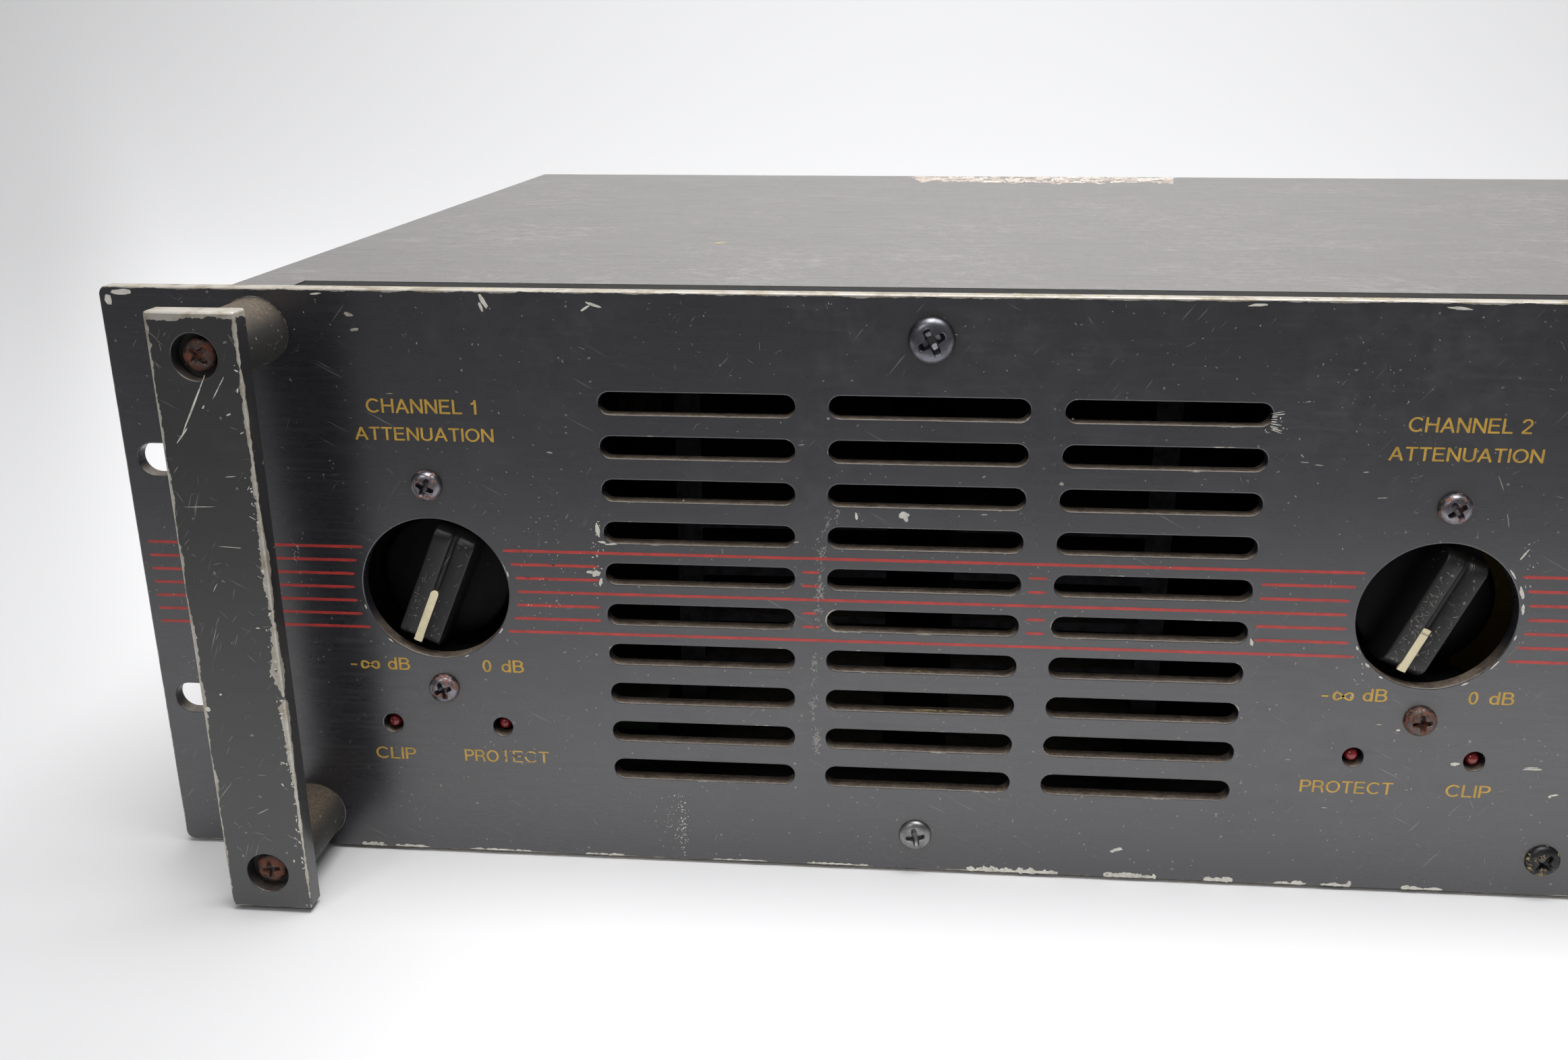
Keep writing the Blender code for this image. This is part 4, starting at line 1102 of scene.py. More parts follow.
    def clear_of_holes(self, marks: np.ndarray) -> np.ndarray:
        """Rows that lie on the panel's metal: outside each slot and round hole by a margin."""
        x, z = marks[:, 0] - LAYOUT.width / 2, marks[:, 1]
        clear = (z > self.edge_margin) & (z < LAYOUT.height - self.edge_margin)
        for edge in FrontPanel().vents():
            beyond = np.maximum(np.abs(x - edge.x) - (edge.width - edge.height) / 2, 0)
            clear &= np.hypot(beyond, z - edge.z) > edge.height / 2 + self.margin
        for knob in LAYOUT.knobs.values():
            clear &= np.hypot(x - knob, z - LAYOUT.middle) > LAYOUT.knob_hole + self.margin
        beyond = np.maximum(np.abs(np.abs(x) - LAYOUT.rack_x) - LAYOUT.rack_straight, 0)
        clear &= np.hypot(beyond, np.abs(z - LAYOUT.middle) - LAYOUT.rack_rise) > self.rack_clearance
        wide, tall = self.switch_clearance
        clear &= (np.abs(x - LAYOUT.switch_x) > wide) | (np.abs(z - LAYOUT.middle) > tall)
        return marks[clear]

    def scattered(self, count: int, seed: int, small: float, large: float, thin: float) -> np.ndarray:
        """Random small marks over the panel: many tiny, few long."""
        random = np.random.default_rng(seed)
        inset = 1.5
        x = random.uniform(inset, LAYOUT.width - inset, count)
        z = random.uniform(inset, LAYOUT.height - inset, count)
        length = small + (large - small) * (1 - random.power(3.2, count))
        width = np.minimum(length * random.uniform(0.3, 0.9, count), thin)
        return self.clear_of_holes(np.stack([x, z, length, width, random.uniform(*ANY_TURN, count)], axis=-1))

    def cloud(self, random: np.random.Generator, x: float, z: float, wide: float, tall: float, count: int,
              size: float) -> np.ndarray:
        """A cloud of specks with a normal spread."""
        return np.column_stack([random.normal(x, wide, count), random.normal(z, tall, count),
                                drawn(random, count, (0.12, size), (0.08, size * 0.55), ANY_TURN)])

    def build(self) -> None:
        """Lay every mark."""
        random = np.random.default_rng(21)
        pale = list(self.pale)
        for low, high, rise in self.lower_chips:
            for x in np.arange(low, high, 0.8):
                tall = rise * random.uniform(0.25, 1.6)
                pale.append((x, 0.42 + tall * 0.3, random.uniform(0.9, 2.2), tall, random.normal(0, 8)))
        for side, chips in self.rim_chips.items():
            for turn, length, width in chips:
                angle, reach = math.radians(turn), LAYOUT.knob_hole + width / 2 + 0.12
                pale.append((LAYOUT.knobs[side] + LAYOUT.width / 2 + reach * math.cos(angle),
                             LAYOUT.middle + reach * math.sin(angle), length, width, turn + 90))
        for turn in np.linspace(-38, 44, 9):
            reach = random.uniform(1.2, 2.8)
            pale.append((self.rays[0] + reach * 0.5, self.rays[1] + math.sin(math.radians(turn)) * 3.0,
                         reach, random.uniform(0.12, 0.24), turn * 0.4 - 6))
        self.lay("paint_chips", np.array(pale), -0.030, 3, Finishes.bare)
        self.lay("primer_marks", np.array(self.dull), -0.026, 9, Finishes.primer)
        self.lay("fine_specks", self.scattered(1900, 5, 0.12, 0.70, 0.22), -0.018, 4, Finishes.primer, 6)
        self.lay("fine_scratches", self.scattered(420, 15, 0.7, 3.6, 0.075), -0.016, 14, Finishes.scrape, 8)
        cluster = [self.cloud(random, *row) for row in self.clouds]
        self.lay("speck_clusters", self.clear_of_holes(np.concatenate(cluster)), -0.024, 6, Finishes.bare, 8)
        count = 90
        dabs = [np.column_stack([random.normal(x, wide / 3.4, count), random.normal(z, tall / 2.8, count),
                                 drawn(random, count, (0.15, 0.8), (0.08, 0.32)), random.normal(80, 30, count)])
                for x, z, wide, tall in self.scrape]
        self.lay("long_scrape", self.clear_of_holes(np.concatenate(dabs)), -0.022, 8, Finishes.scrape, 8)
        self.lay_amber(random)

    def lay(self, name: str, marks: np.ndarray, level: float, seed: int, finish: Finish,
            corners: int = 20) -> None:
        """Lay one set of marks on the panel's face."""
        attach(flakes(name, marks, level, seed, corners=corners), finish)

    def lay_amber(self, random: np.random.Generator) -> None:
        """Yellowed flakes on slot lips and along the top edge: rows of x, y, length, width, angle."""
        lips = {3: [(174.6, 1.1, 4.4, 0.8, -2), (171.5, 1.6, 1.8, 0.4, 4)],
                2: [(177.5, 1.3, 10.0, 0.7, -2), (174.0, 0.9, 4.0, 0.45, 3), (182.6, 1.5, 5.0, 0.5, -5),
                    (189.0, 1.2, 1.6, 0.4, 0)],
                4: [(190.0, 1.2, 0.8, 0.5, 10)], 0: [(171.0, 2.0, 0.5, 0.4, 0)]}
        for row, marks in lips.items():
            z = LAYOUT.vent_row(row) - LAYOUT.vent_radius + 0.17
            attach(flakes(f"lip_scratch_{row}", np.array(marks), z, 30 + row, lying=True), Finishes.amber)
        count = 90
        spots = drawn(random, count, (30, 300), (0.5, 2.9), (0.4, 3.2), (0.2, 0.9))
        spots = np.column_stack([spots, random.normal(0, 14, count)])
        attach(flakes("edge_spots", spots, LAYOUT.height + 0.004, 41, True, 10), Finishes.amber)


# Fasteners ----------------------------------------------------------------------------------

@dataclass
class CrossScrew:
    """A domed screw head with a cross recess.

    The head is a polar grid: its height is a dome, rise times root(1 - (r/R) to the power of twice
    the flatness), less a recess whose depth falls from the middle along four tapered arms.
    """

    name: str
    x: float
    z: float
    radius: float
    rise: float
    turn: float
    seat: float = 0.0
    arm: float = 0.62
    flatness: float = 2.0
    skirt: float = 0.4
    sunk_share: float = 0.12

    def build(self) -> bpy.types.Object:
        """Build the head."""
        rings, sides = 40, 112
        reach = np.sin(np.linspace(0, np.pi / 2, rings))[:, None] * self.radius
        angle = np.linspace(0, 2 * np.pi, sides, endpoint=False)[None, :]
        u, v = reach * np.cos(angle - self.turn), reach * np.sin(angle - self.turn)
        dome = self.rise * (1 - (reach / self.radius) ** (2 * self.flatness)) ** (1 / 2)
        length = self.radius * self.arm
        depth = np.zeros_like(u)
        for along, across in ((u, v), (v, u)):
            taper = np.clip(1 - np.abs(along) / length, 0, 1)
            half = self.radius * (0.115 + 0.06 * taper)
            inside = np.clip((half - np.abs(across)) / (self.radius * 0.05) + 0.5, 0, 1)
            depth = np.maximum(depth, inside * np.clip(taper * 3.0, 0, 1) * (0.45 + 0.55 * taper))
        y = self.seat - dome + depth * self.rise * 1.15
        top = np.stack([self.x + reach * np.cos(angle), y, self.z + reach * np.sin(angle)], axis=-1)
        skirt = top[-1:].copy()
        skirt[..., 1] = self.seat + self.skirt
        foot = np.broadcast_to([self.x, self.seat + self.skirt, self.z], skirt.shape)
        points = np.concatenate([top, skirt, foot])
        faces = grid_faces(rings + 2, sides, False, True)
        piece = new_piece(self.name, points, faces, seal=False)
        sunk = np.concatenate([depth, np.zeros((2, sides))]).reshape(-1)
        deep = np.array([sunk[face].mean() > self.sunk_share for face in faces])
        piece.data.polygons.foreach_set("material_index", deep.astype(int))
        with opened(piece.data) as work:
            bmesh.ops.remove_doubles(work, verts=work.verts, dist=SAME_POINT)
            bmesh.ops.recalc_face_normals(work, faces=work.faces)
        return piece

    def fit(self, finish: Finish, node: str) -> None:
        """Build the head, dress it, and give its cross the dark recess finish: near-black steel that is painted
        shade, with rust.
        """
        piece = attach(self.build(), finish, node, slot="screw_steel")
        piece.data.materials.append(Finishes.recess.material())


class Fasteners:
    """All the screw heads on the front."""

    def build(self) -> None:
        """Build each head with its own turn and rust."""
        top, bottom = LAYOUT.middle + LAYOUT.screw_rise, LAYOUT.middle - LAYOUT.screw_rise
        heads = [("top_middle", LAYOUT.vent_x, top, 4.85, 2.3, 0.5, Finishes.dark),
                 ("bottom_middle", LAYOUT.vent_x, bottom, 3.75, 1.5, 0.2, Finishes.bright),
                 ("top_right", LAYOUT.screw_x, top, 3.75, 1.5, 0.9, Finishes.screw),
                 ("bottom_right", LAYOUT.screw_x, bottom, 3.75, 1.5, 0.9, Finishes.blackened)]
        for name, x, z, radius, rise, turn, finish in heads:
            CrossScrew(f"screw_{name}", x, z, radius, rise, turn).fit(finish, f"panel_screw_{name}")
        turns = iter((0.35, 1.15, 0.15, 0.6))
        for side, x in LAYOUT.knobs.items():
            for level, sign in (("lower", -1), ("upper", 1)):
                finish = Finishes.rusty if (side, level) == ("right", "lower") else Finishes.screw
                head = CrossScrew(f"knob_screw_{side}_{level}", x, LAYOUT.middle + sign * LAYOUT.strap_rise,
                                  3.45, 2.0, next(turns))
                head.fit(finish, f"strap_screw_{side}_{level}")


# Handles ------------------------------------------------------------------------------------

@dataclass
class Handle:
    """A flat bar on two posts, with a sunk screw at each end."""

    side: str
    sign: int
    width: float = 18.0
    height: float = 131.8
    thick: float = 4.9
    reach: float = 26.6
    x_offset: float = 208.4
    hole: float = 9.2
    head: float = 3.4
    head_depth: float = 2.6
    head_clearance: float = 6.4

    def build(self) -> None:
        """Build the bar, the posts, the screws and the scratches."""
        x = self.sign * self.x_offset
        bar = Edge(Outline.BOX, x, LAYOUT.middle, self.width, self.height, 0.5, steps=4)
        levels = (("lower", -1), ("upper", 1))
        holes = [Edge(Outline.ROUND, x, LAYOUT.middle + s * LAYOUT.screw_rise, self.hole, self.hole, steps=14)
                 for _, s in levels]
        front, back = 0.03 - self.reach, self.thick - self.reach
        piece = plate(f"handle_{self.side}", bar, holes, front, back, 0.55, 0.3)
        attach(piece, Finishes.handle, f"handle_bar_{self.side}")
        for level, sign in levels:
            z = LAYOUT.middle + sign * LAYOUT.screw_rise
            post = [(6.9, back + 0.05), (6.9, -0.5), (7.05, -0.1), (7.05, 0), (0, 0), (0, back - 1.6),
                    (4.55, back - 1.6), (4.55, back + 0.05)]
            piece = turned(f"post_{self.side}_{level}", post, x, z)
            attach(piece, Finishes.post, f"handle_post_{self.side}_{level}")
            head = CrossScrew(f"handle_head_{self.side}_{level}", x, z, self.head, 1.3, 0.1 + 0.35 * (sign + 1),
                              seat=front + self.head_depth, arm=0.7, flatness=1.4)
            head.fit(Finishes.rusty, f"handle_screw_{self.side}_{level}")
            foot = [(6.95, -0.05), (7.2, -0.04), (7.3, 0.02), (6.95, 0.02)]
            attach(turned(f"post_foot_{self.side}_{level}", foot, x, z), Finishes.foot)
        left = x + LAYOUT.width / 2
        scratches = np.array([(-1.6, 113.6, 13.5, 0.34, 62), (-4.6, 107.8, 4.4, 0.3, 50), (3.9, 117.2, 5.0, 0.24, 58),
                              (5.4, 112.2, 1.0, 0.35, 20), (0.5, 113.6, 0.9, 0.3, 60), (4.0, 99.6, 2.4, 0.14, 4),
                              (-3.0, 93.2, 6.0, 0.13, 2), (2.0, 84.8, 4.6, 0.12, -3), (-4.6, 52.0, 0.6, 0.5, 0),
                              (-7.9, 48.5, 1.4, 1.2, 10), (1.0, 24.5, 3.4, 0.12, 30), (-2.4, 76.0, 2.0, 0.12, 60)])
        scratches[:, 0] += left
        random = np.random.default_rng(61 + self.sign)
        count, chips = 110, 70
        fine = np.column_stack([random.uniform(left - 8.2, left + 8.2, count), 128 - 118 * random.power(0.55, count),
                                drawn(random, count, (0.25, 2.6), (0.05, 0.13)),
                                random.choice([62.0, 5.0, -40.0], count) + random.normal(0, 14, count)])
        edge = np.column_stack([left + 8.4 - random.exponential(0.5, chips),
                                drawn(random, chips, (8, 122), (0.2, 1.1), (0.1, 0.4), ANY_TURN)])
        for _, level in levels:
            away = np.hypot(fine[:, 0] - left, fine[:, 1] - LAYOUT.middle - level * LAYOUT.screw_rise)
            fine = fine[away > self.head_clearance]
        piece = flakes(f"handle_hairlines_{self.side}", fine, front - 0.008, 55 + self.sign, corners=8)
        attach(piece, Finishes.scrape)
        marks = np.concatenate([scratches, edge])
        piece = flakes(f"handle_scratches_{self.side}", marks, front - 0.015, 51 + self.sign, corners=14)
        attach(piece, Finishes.bare)


# Knobs --------------------------------------------------------------------------------------

@dataclass
class Knob:
    """A recessed pointer knob: a skirt, a tall bar with a groove, and a cream pointer."""

    side: str
    x: float
    scratches: int = 60
    front: float = 0.4
    skirt_front: float = 8.6
    back: float = 12.4
    skirt: float = 15.2
    bar_width: float = 9.4
    bar_length: float = 28.6
    lean: float = math.radians(23.0)

    def turned_points(self, along: np.ndarray, depth: np.ndarray, across: np.ndarray) -> np.ndarray:
        """Turn bar coordinates by the lean: along runs up the bar, across runs to its right."""
        x = self.x + along * math.sin(self.lean) + across * math.cos(self.lean)
        z = LAYOUT.middle + along * math.cos(self.lean) - across * math.sin(self.lean)
        return np.stack([x, depth, z], axis=-1)

    def bar_section(self) -> tuple[np.ndarray, np.ndarray]:
        """Half the bar's section mirrored: draft side, round shoulder, flat, and a V groove in the middle."""
        top, base, height = self.bar_width / 2, self.bar_width / 2 + 0.9, self.skirt_front - self.front
        turn = np.linspace(0, np.pi / 2, 5)
        shoulder_v = top - 0.45 + 0.45 * np.cos(turn)
        shoulder_h = height - 0.45 + 0.45 * np.sin(turn)
        across = np.concatenate([[base, base - 0.35], shoulder_v, [top - 1.6, 1.08, 0.86, 0.34]])
        level = np.concatenate([[-1.5, 1.0], shoulder_h, [height, height, height - 0.12, height - 0.85]])
        return np.concatenate([across, -across[::-1]]), np.concatenate([level, level[::-1]])

    def build_bar(self) -> bpy.types.Object:
        """Carry the section along the bar; each ring's height is scaled down at the two ends."""
        across, level = self.bar_section()
        half = self.bar_length / 2
        ends = np.array([0.0, 0.15, 0.5, 1.0, 1.6, 2.2, 2.6])
        drop = np.array([0.55, 0.66, 0.76, 0.86, 0.94, 0.985, 1.0])
        along = np.concatenate([-half + ends, np.linspace(-half + 4, half - 4, 9), half - ends[::-1]])
        scale = np.concatenate([drop, np.ones(9), drop[::-1]])
        along = np.concatenate([[-half - 0.35], along, [half + 0.35]])
        scale = np.concatenate([[0.0], scale, [0.0]])
        height = np.where(level[None, :] > 0, level[None, :] * scale[:, None], level[None, :])
        points = self.turned_points(np.repeat(along[:, None], len(across), 1), self.skirt_front - height,
                                    np.repeat(across[None, :], len(along), 0))
        return capped_tube(f"knob_bar_{self.side}", points)

    def build_pointer(self) -> bpy.types.Object:
        """The pointer: a half-round ridge that narrows at its inner end."""
        half = self.bar_length / 2
        tip = 1 - np.cos(np.linspace(0, np.pi / 2, 6))
        along = np.concatenate([-0.9 - 0.8 * tip, np.linspace(-3, -half + 0.5, 10)])
        width = np.concatenate([0.92 * np.sin(np.linspace(0.15, np.pi / 2, 6)), np.full(10, 0.92)])
        if self.side == "right":
            along, width = along[5:] - 1.6 * (along[5:] > -4), width[5:]
        sides = 9
        turn = np.linspace(0, np.pi, sides)
        across = width[:, None] * np.cos(turn)[None, :]
        rise = 0.22 * np.sin(turn)[None, :] * np.ones_like(width)[:, None] - 0.12
        end = np.ones_like(along)
        end[-1] = 0.6
        depth = self.front - rise * end[:, None]
        lower = np.stack([across[:, -1], across[:, 0]], axis=1)
        ridge = self.turned_points(np.repeat(along[:, None], sides, 1), depth, across)
        foot = self.turned_points(np.repeat(along[:, None], 2, 1), np.full(lower.shape, self.front + 0.7), lower)
        return capped_tube(f"pointer_{self.side}", np.concatenate([ridge, foot], axis=1))

    def build_scratches(self) -> bpy.types.Object:
        """Fine scratches on the bar's face, thickest near the pointer."""
        random = np.random.default_rng(71 + self.scratches)
        count = self.scratches
        along = np.clip(random.normal(-3.0, 6.0, count), -12.0, 12.0)
        across = random.choice([-1, 1], count, p=(0.68, 0.32)) * random.uniform(1.5, 3.9, count)
        spots = self.turned_points(along, np.zeros(count), across)
        length = 0.2 + random.exponential(0.35, count)
        marks = np.column_stack([spots[:, 0] + LAYOUT.width / 2, spots[:, 2], np.minimum(length, 1.4),
                                 drawn(random, count, (0.04, 0.09), ANY_TURN)])
        return flakes(f"knob_scratches_{self.side}", marks, self.front - 0.012, 81, corners=8)

    def build(self) -> None:
        """Build the knob."""
        body = f"knob_{self.side}_turn"
        edge = self.skirt_front
        skirt = [(0, edge), (self.skirt - 1.4, edge), (self.skirt - 0.5, edge + 0.2), (self.skirt, edge + 0.8),
                 (self.skirt, self.back - 0.4), (self.skirt - 0.4, self.back), (0, self.back)]
        # the skirt's finish is painted shade, darker than the knob's own plastic
        attach(turned(f"knob_skirt_{self.side}", skirt, self.x, LAYOUT.middle, 96), Finishes.skirt_shade,
               f"knob_{self.side}", body=body, slot="black_plastic")
        for piece, finish in ((self.build_bar(), Finishes.knob), (self.build_pointer(), Finishes.cream),
                              (self.build_scratches(), Finishes.primer)):
            attach(piece, finish, body=body, slot="black_plastic")


# Lamps and switch ---------------------------------------------------------------------------

@dataclass
class Lamps:
    """Four small domed lamps, sunk a little in their holes."""

    radius: float = 1.5
    dome: float = 1.4
    shoulder: float = 2.4
    length: float = 7.0
    usual_shift: float = -0.6
    sunk_shift: float = 0.2

    def build(self) -> None:
        """Build each lamp: a half-round dome on a short barrel."""
        turn = np.linspace(0, np.pi / 2, 10)
        dome = [(self.radius * math.sin(t), self.shoulder - self.dome * math.cos(t)) for t in turn]
        for side, x in LAYOUT.knobs.items():
            for place, sign in (("left", -1), ("right", 1)):
                name = f"{side}_knob_{place}"
                shift = self.sunk_shift if (side, place) == ("left", "right") else self.usual_shift
                profile = [(r, y + shift) for r, y in dome] + [(self.radius, self.length), (0, self.length)]
                piece = turned(f"led_{name}", profile, x + sign * LAYOUT.lamp_offset, LAYOUT.lamp_z, 32)
                attach(piece, Finishes.lens, f"lamp_{name}", slot="red_lens")


@dataclass
class PowerSwitch:
    """A rocker in a rimmed housing."""

    pivot: float = 3.5
    tilt: float = math.radians(10)
    rim: tuple[float, float, float] = (25.0, 34.0, 1.6)
    mouth: tuple[float, float, float] = (18.8, 26.8, 0.8)
    well: tuple[float, float, float] = (21.4, 29.4, 0.8)
    well_depth: float = 15.0
    proud: float = 2.3

    def build(self) -> None:
        """Build the housing's rim and well, and the rocker."""
        x, z = LAYOUT.switch_x, LAYOUT.middle
        outer, mouth, inner = (Edge(Outline.BOX, x, z, *size, steps=6) for size in (self.rim, self.mouth, self.well))
        rim = plate("switch_rim", outer, [mouth], -self.proud, -0.01, 0.7, 0.5)
        attach(rim, Finishes.black, "switch_housing", slot="black_plastic")
        well = plate("switch_well", inner, [mouth], 0.0, self.well_depth, 0.05)
        attach(well, Finishes.black, slot="black_plastic")
        attach(self.rocker(), Finishes.black, "switch_rocker", body="power_rocker", slot="black_plastic")

    def rocker(self) -> bpy.types.Object:
        """The rocker: a dished section carried across, its ends drawn in to round the edges."""
        face = np.linspace(-12, 12, 25)
        dish = -4.2 - 2.0 * (np.abs(face) / 12) ** 1.6
        z = np.concatenate([face, [12.2, 12.0, 4.0, -4.0, -12.0, -12.2]])
        y = np.concatenate([dish, [-5.4, 2.0, 6.0, 6.0, 2.0, -5.4]])
        across = np.array([-9.0, -8.9, -8.6, -8.0, 8.0, 8.6, 8.9, 9.0])
        shrink = np.array([0.93, 0.97, 0.99, 1.0, 1.0, 0.99, 0.97, 0.93])
        turned_y = self.pivot + shrink[:, None] * (y * math.cos(self.tilt) - z * math.sin(self.tilt))
        turned_z = LAYOUT.middle + shrink[:, None] * (y * math.sin(self.tilt) + z * math.cos(self.tilt))
        points = np.stack([np.repeat(LAYOUT.switch_x + across[:, None], len(z), 1), turned_y, turned_z], axis=-1)
        return capped_tube("rocker", points)


# Case and rear ------------------------------------------------------------------------------

@dataclass
class Case:
    """Materials for the frame's own parts, which keep their shapes, and what lies on and in the case."""

    filter_radius: float = 57.5
    residue_low: float = 170.0
    residue_high: float = 272.0
    residue_depth: float = 36.0
    seam_half: float = 213.0

    def build_filter(self) -> None:
        """A foam dust filter on the fan's inner side: a disc whose face is ribbed by rings."""
        box = LAYOUT.box("fan_frame")
        front = box[0][1]
        x, _, z = box.mean(axis=0)
        radius = np.linspace(self.filter_radius, 0.8, 60)
        depth = front - 1.6 - 0.35 * np.cos(radius * 2.2)
        profile = [(0, front - 0.1), (self.filter_radius, front - 0.1), *zip(radius, depth), (0, depth[-1])]
        attach(turned("fan_filter", profile, x, z, 72), Finishes.foam, slot="black_plastic")

    def build_residue(self) -> None:
        """A torn strip of old tape on the cover's rear edge, and a few crumbs.

        The strip is a band of quads whose two long sides are smoothed noise; some quads are left out.
        """
        random = np.random.default_rng(17)
        _, rear, top = LAYOUT.box("top_cover")[1] + [0, 0, 0.03]
        steps = 260
        x = np.linspace(self.residue_low, self.residue_high, steps) - LAYOUT.width / 2
        ends = np.clip(np.minimum(np.arange(steps), np.arange(steps)[::-1]) / 14, 0.15, 1)
        wander = np.convolve(random.normal(0, 1, steps + 8), np.ones(9) / 3, "valid")
        jag = random.normal(0, 0.35, steps)
        near = rear - (self.residue_depth * 0.72 + 2.4 * wander + 0.9 * jag) * ends
        far = rear - 0.4 - np.abs(np.convolve(random.normal(0, 1, steps + 8), np.ones(9) / 4, "valid"))
        rows = np.linspace(0, 1, 9)[:, None]
        y = near + (far - near) * rows
        y[1:-1] += random.normal(0, 0.18, y[1:-1].shape)
        points = np.stack([np.broadcast_to(x, y.shape), y, np.full(y.shape, top)], axis=-1)
        quads = np.array(grid_faces(9, steps))
        patch = np.convolve(random.normal(0, 1, len(quads) + 6), np.ones(7) / 3, "valid")
        strip = new_piece("tape_residue", points, quads[patch < 0.9].tolist(), smooth=False, seal=False)
        attach(strip, Finishes.residue, slot="cover_paint")
        crumbs = np.array([(121.6, 77.0, 4.2, 2.6, 60), (120.4, 78.4, 0.9, 0.6, 0), (176.0, 214.0, 1.6, 0.8, 0),
                           (214.0, 198.0, 1.0, 0.6, 0), (252.0, 160.0, 0.8, 0.5, 0), (88.0, 60.0, 0.9, 0.5, 0)])
        attach(flakes("cover_crumbs", crumbs, top, 19, lying=True), Finishes.amber, slot="cover_paint")

    def build_seam(self) -> None:
        """A dark angle strip inside the seam of the tray and the rear plate, painted shade in the seam: an L-shaped
        profile along x.
        """
        y, z = LAYOUT.box("rear_plate")[0][1] - 0.05, LAYOUT.box("bottom_tray")[0][2] + 1.3
        section = np.array([[y, z], [y, z + 5.0], [y - 0.6, z + 5.0], [y - 0.6, z + 0.6], [y - 6.0, z + 0.6],
                            [y - 6.0, z]])
        x = np.linspace(-self.seam_half, self.seam_half, 24)
        points = np.stack([np.repeat(x[:, None], 6, 1), *(np.tile(row, (24, 1)) for row in section.T)], axis=-1)
        attach(capped_tube("seam_shade_strip", points), Finishes.inner)

    def dress(self, finish: Finish, *names: str) -> None:
        """Put a finish on frame nodes."""
        material = finish.material()
        for name in names:
            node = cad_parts[name]
            for slot in node.material_slots:
                slot.link = "OBJECT"
                slot.material = material
            if not node.material_slots:
                node.data.materials.append(material)
            LOG.info("%s dressed with %s", name, material.name)

    def build(self) -> None:
        """Dress every frame node that stays in view."""
        dressed = {
            Finishes.cover: ["top_cover"], Finishes.case: ["rear_plate", "bottom_tray"],
            Finishes.inner: ["front_frame", "knob_strap_left", "knob_strap_right"], Finishes.zinc: ["fan_guard"],
            Finishes.alloy: ["attenuator_left", "attenuator_right", "heatsink_left", "heatsink_right"],
            Finishes.black: ["fan_frame", "fan_rotor", "terminal_strip", "mains_inlet", "breaker_body",
                             "breaker_button"],
            Finishes.tape: ["transformer"], Finishes.sleeve: ["capacitor_1", "capacitor_2", "capacitor_3"],
            Finishes.board: ["supply_board", "input_board"],
            Finishes.nickel: ["input_jack_1", "input_jack_2", "knob_shaft_left", "knob_shaft_right"],
            Finishes.screw: ["transformer_bolt", "cover_screw_left_front", "cover_screw_left_rear",
                             "cover_screw_right_front", "cover_screw_right_rear"]}
        for finish, names in dressed.items():
            self.dress(finish, *names)
        self.build_filter()
        self.build_residue()
        self.build_seam()


# Studio -------------------------------------------------------------------------------------

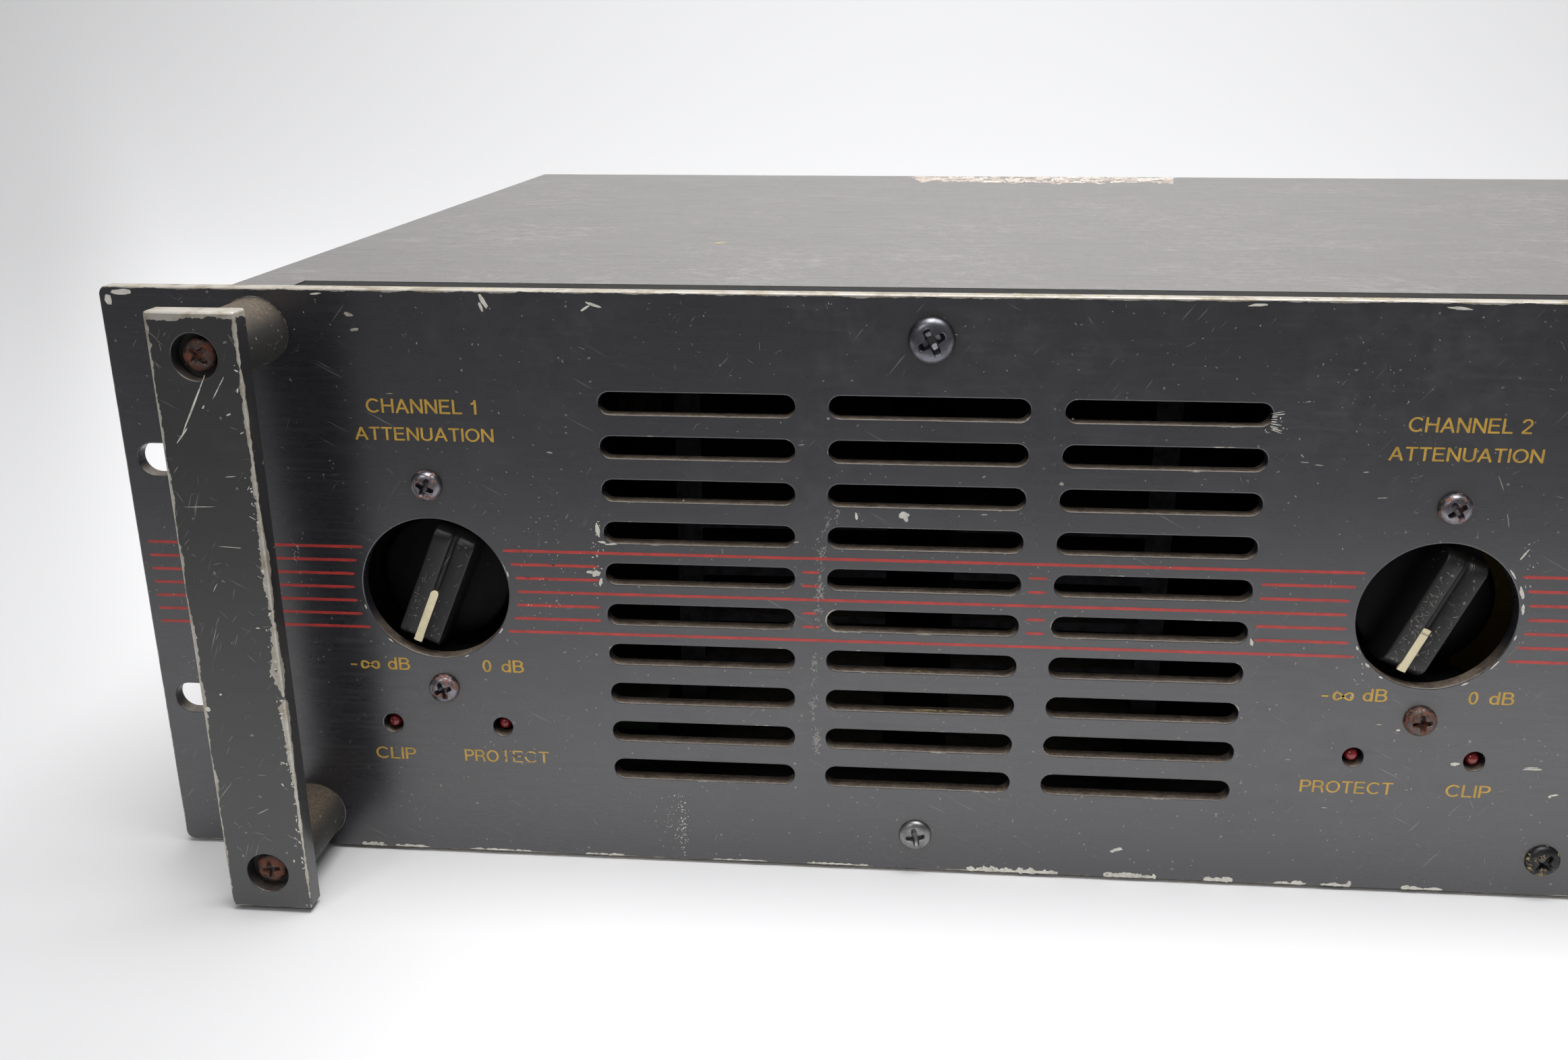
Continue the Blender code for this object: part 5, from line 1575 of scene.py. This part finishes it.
@dataclass
class Studio:
    """Floor, lights and camera."""

    camera_place: tuple = (-0.07495, -0.40934, 0.17975)
    camera_turn: tuple = (70.859, 0.091, 4.553)
    lens: float = 31.819
    sky: float = 0.22
    sweep_start: float = 0.9
    sweep_radius: float = 1.5
    lamps: tuple = (("overhead", (0.0, 0.95, 2.0), (0.0, 0.95, 0.0), 2.4, 28.0),
                    ("backdrop", (0.0, 0.25, 1.3), (0.0, 2.2, 0.7), 1.4, 8.0),
                    ("front_top", (0.05, -0.24, 0.95), (0.05, -0.24, 0.0), 0.6, 9.3),
                    ("key", (-0.62, -0.95, 0.80), (-0.1, -0.08, 0.06), 0.25, 1.6))

    def light(self, name: str, place: tuple, aim: tuple, size: float, power: float) -> None:
        """A square soft lamp.

        Args:
            name: the lamp's name.
            place: its centre in metres.
            aim: the point that it faces.
            size: length of its side in metres.
            power: its power in watts.
        """
        lamp = bpy.data.lights.new(name, "AREA")
        lamp.size, lamp.energy = size, power
        item = bpy.data.objects.new(name, lamp)
        item.location = place
        item.rotation_euler = (Vector(aim) - Vector(place)).to_track_quat("-Z", "Y").to_euler()
        bpy.context.scene.collection.objects.link(item)

    def build(self) -> None:
        """Build the studio: a floor that sweeps up behind as a quarter circle."""
        start, radius = self.sweep_start, self.sweep_radius
        y = np.linspace(start, start + radius, 14)
        z = radius - np.sqrt(np.maximum(radius ** 2 - (y - start) ** 2, 0))
        y, z = np.array([-2.5, *y, start + radius]), np.array([0.0, *z, 4.0])
        x = np.array([-3.5, 3.5])
        points = np.stack([np.broadcast_to(x, (len(y), 2)), np.repeat(y[:, None], 2, 1),
                           np.repeat(z[:, None], 2, 1)], axis=-1).reshape(-1, 3)
        mesh = bpy.data.meshes.new("floor")
        mesh.from_pydata(points.tolist(), [], grid_faces(len(y), 2))
        mesh.shade_smooth()
        floor = bpy.data.objects.new("floor", mesh)
        bpy.context.scene.collection.objects.link(floor)
        mesh.materials.append(Finishes.paper.material())
        bpy.context.scene.view_settings.view_transform = "Standard"
        world = bpy.data.worlds.new("studio")
        bpy.context.scene.world = world
        world.use_nodes = True
        light = world.node_tree.nodes["Background"].inputs
        light["Color"].default_value, light["Strength"].default_value = (1, 1, 1, 1), self.sky
        for lamp in self.lamps:
            self.light(*lamp)
        camera = bpy.data.cameras.new("camera")
        camera.lens, camera.sensor_width = self.lens, 36.0
        camera.clip_start = 0.01
        item = bpy.data.objects.new("camera", camera)
        item.location = self.camera_place
        item.rotation_euler = tuple(math.radians(angle) for angle in self.camera_turn)
        bpy.context.scene.collection.objects.link(item)
        bpy.context.scene.camera = item


def main() -> None:
    """Build the amplifier piece by piece."""
    logging.basicConfig(level=logging.INFO, format="%(message)s")
    Studio().build()
    FrontPanel().build()
    Damage().build()
    Fasteners().build()
    for side, sign in (("left", -1), ("right", 1)):
        Handle(side, sign).build()
    for side, x in LAYOUT.knobs.items():
        Knob(side, x, scratches=130 if side == "right" else 50).build()
    Lamps().build()
    PowerSwitch().build()
    Case().build()


if __name__ == "__main__":
    main()
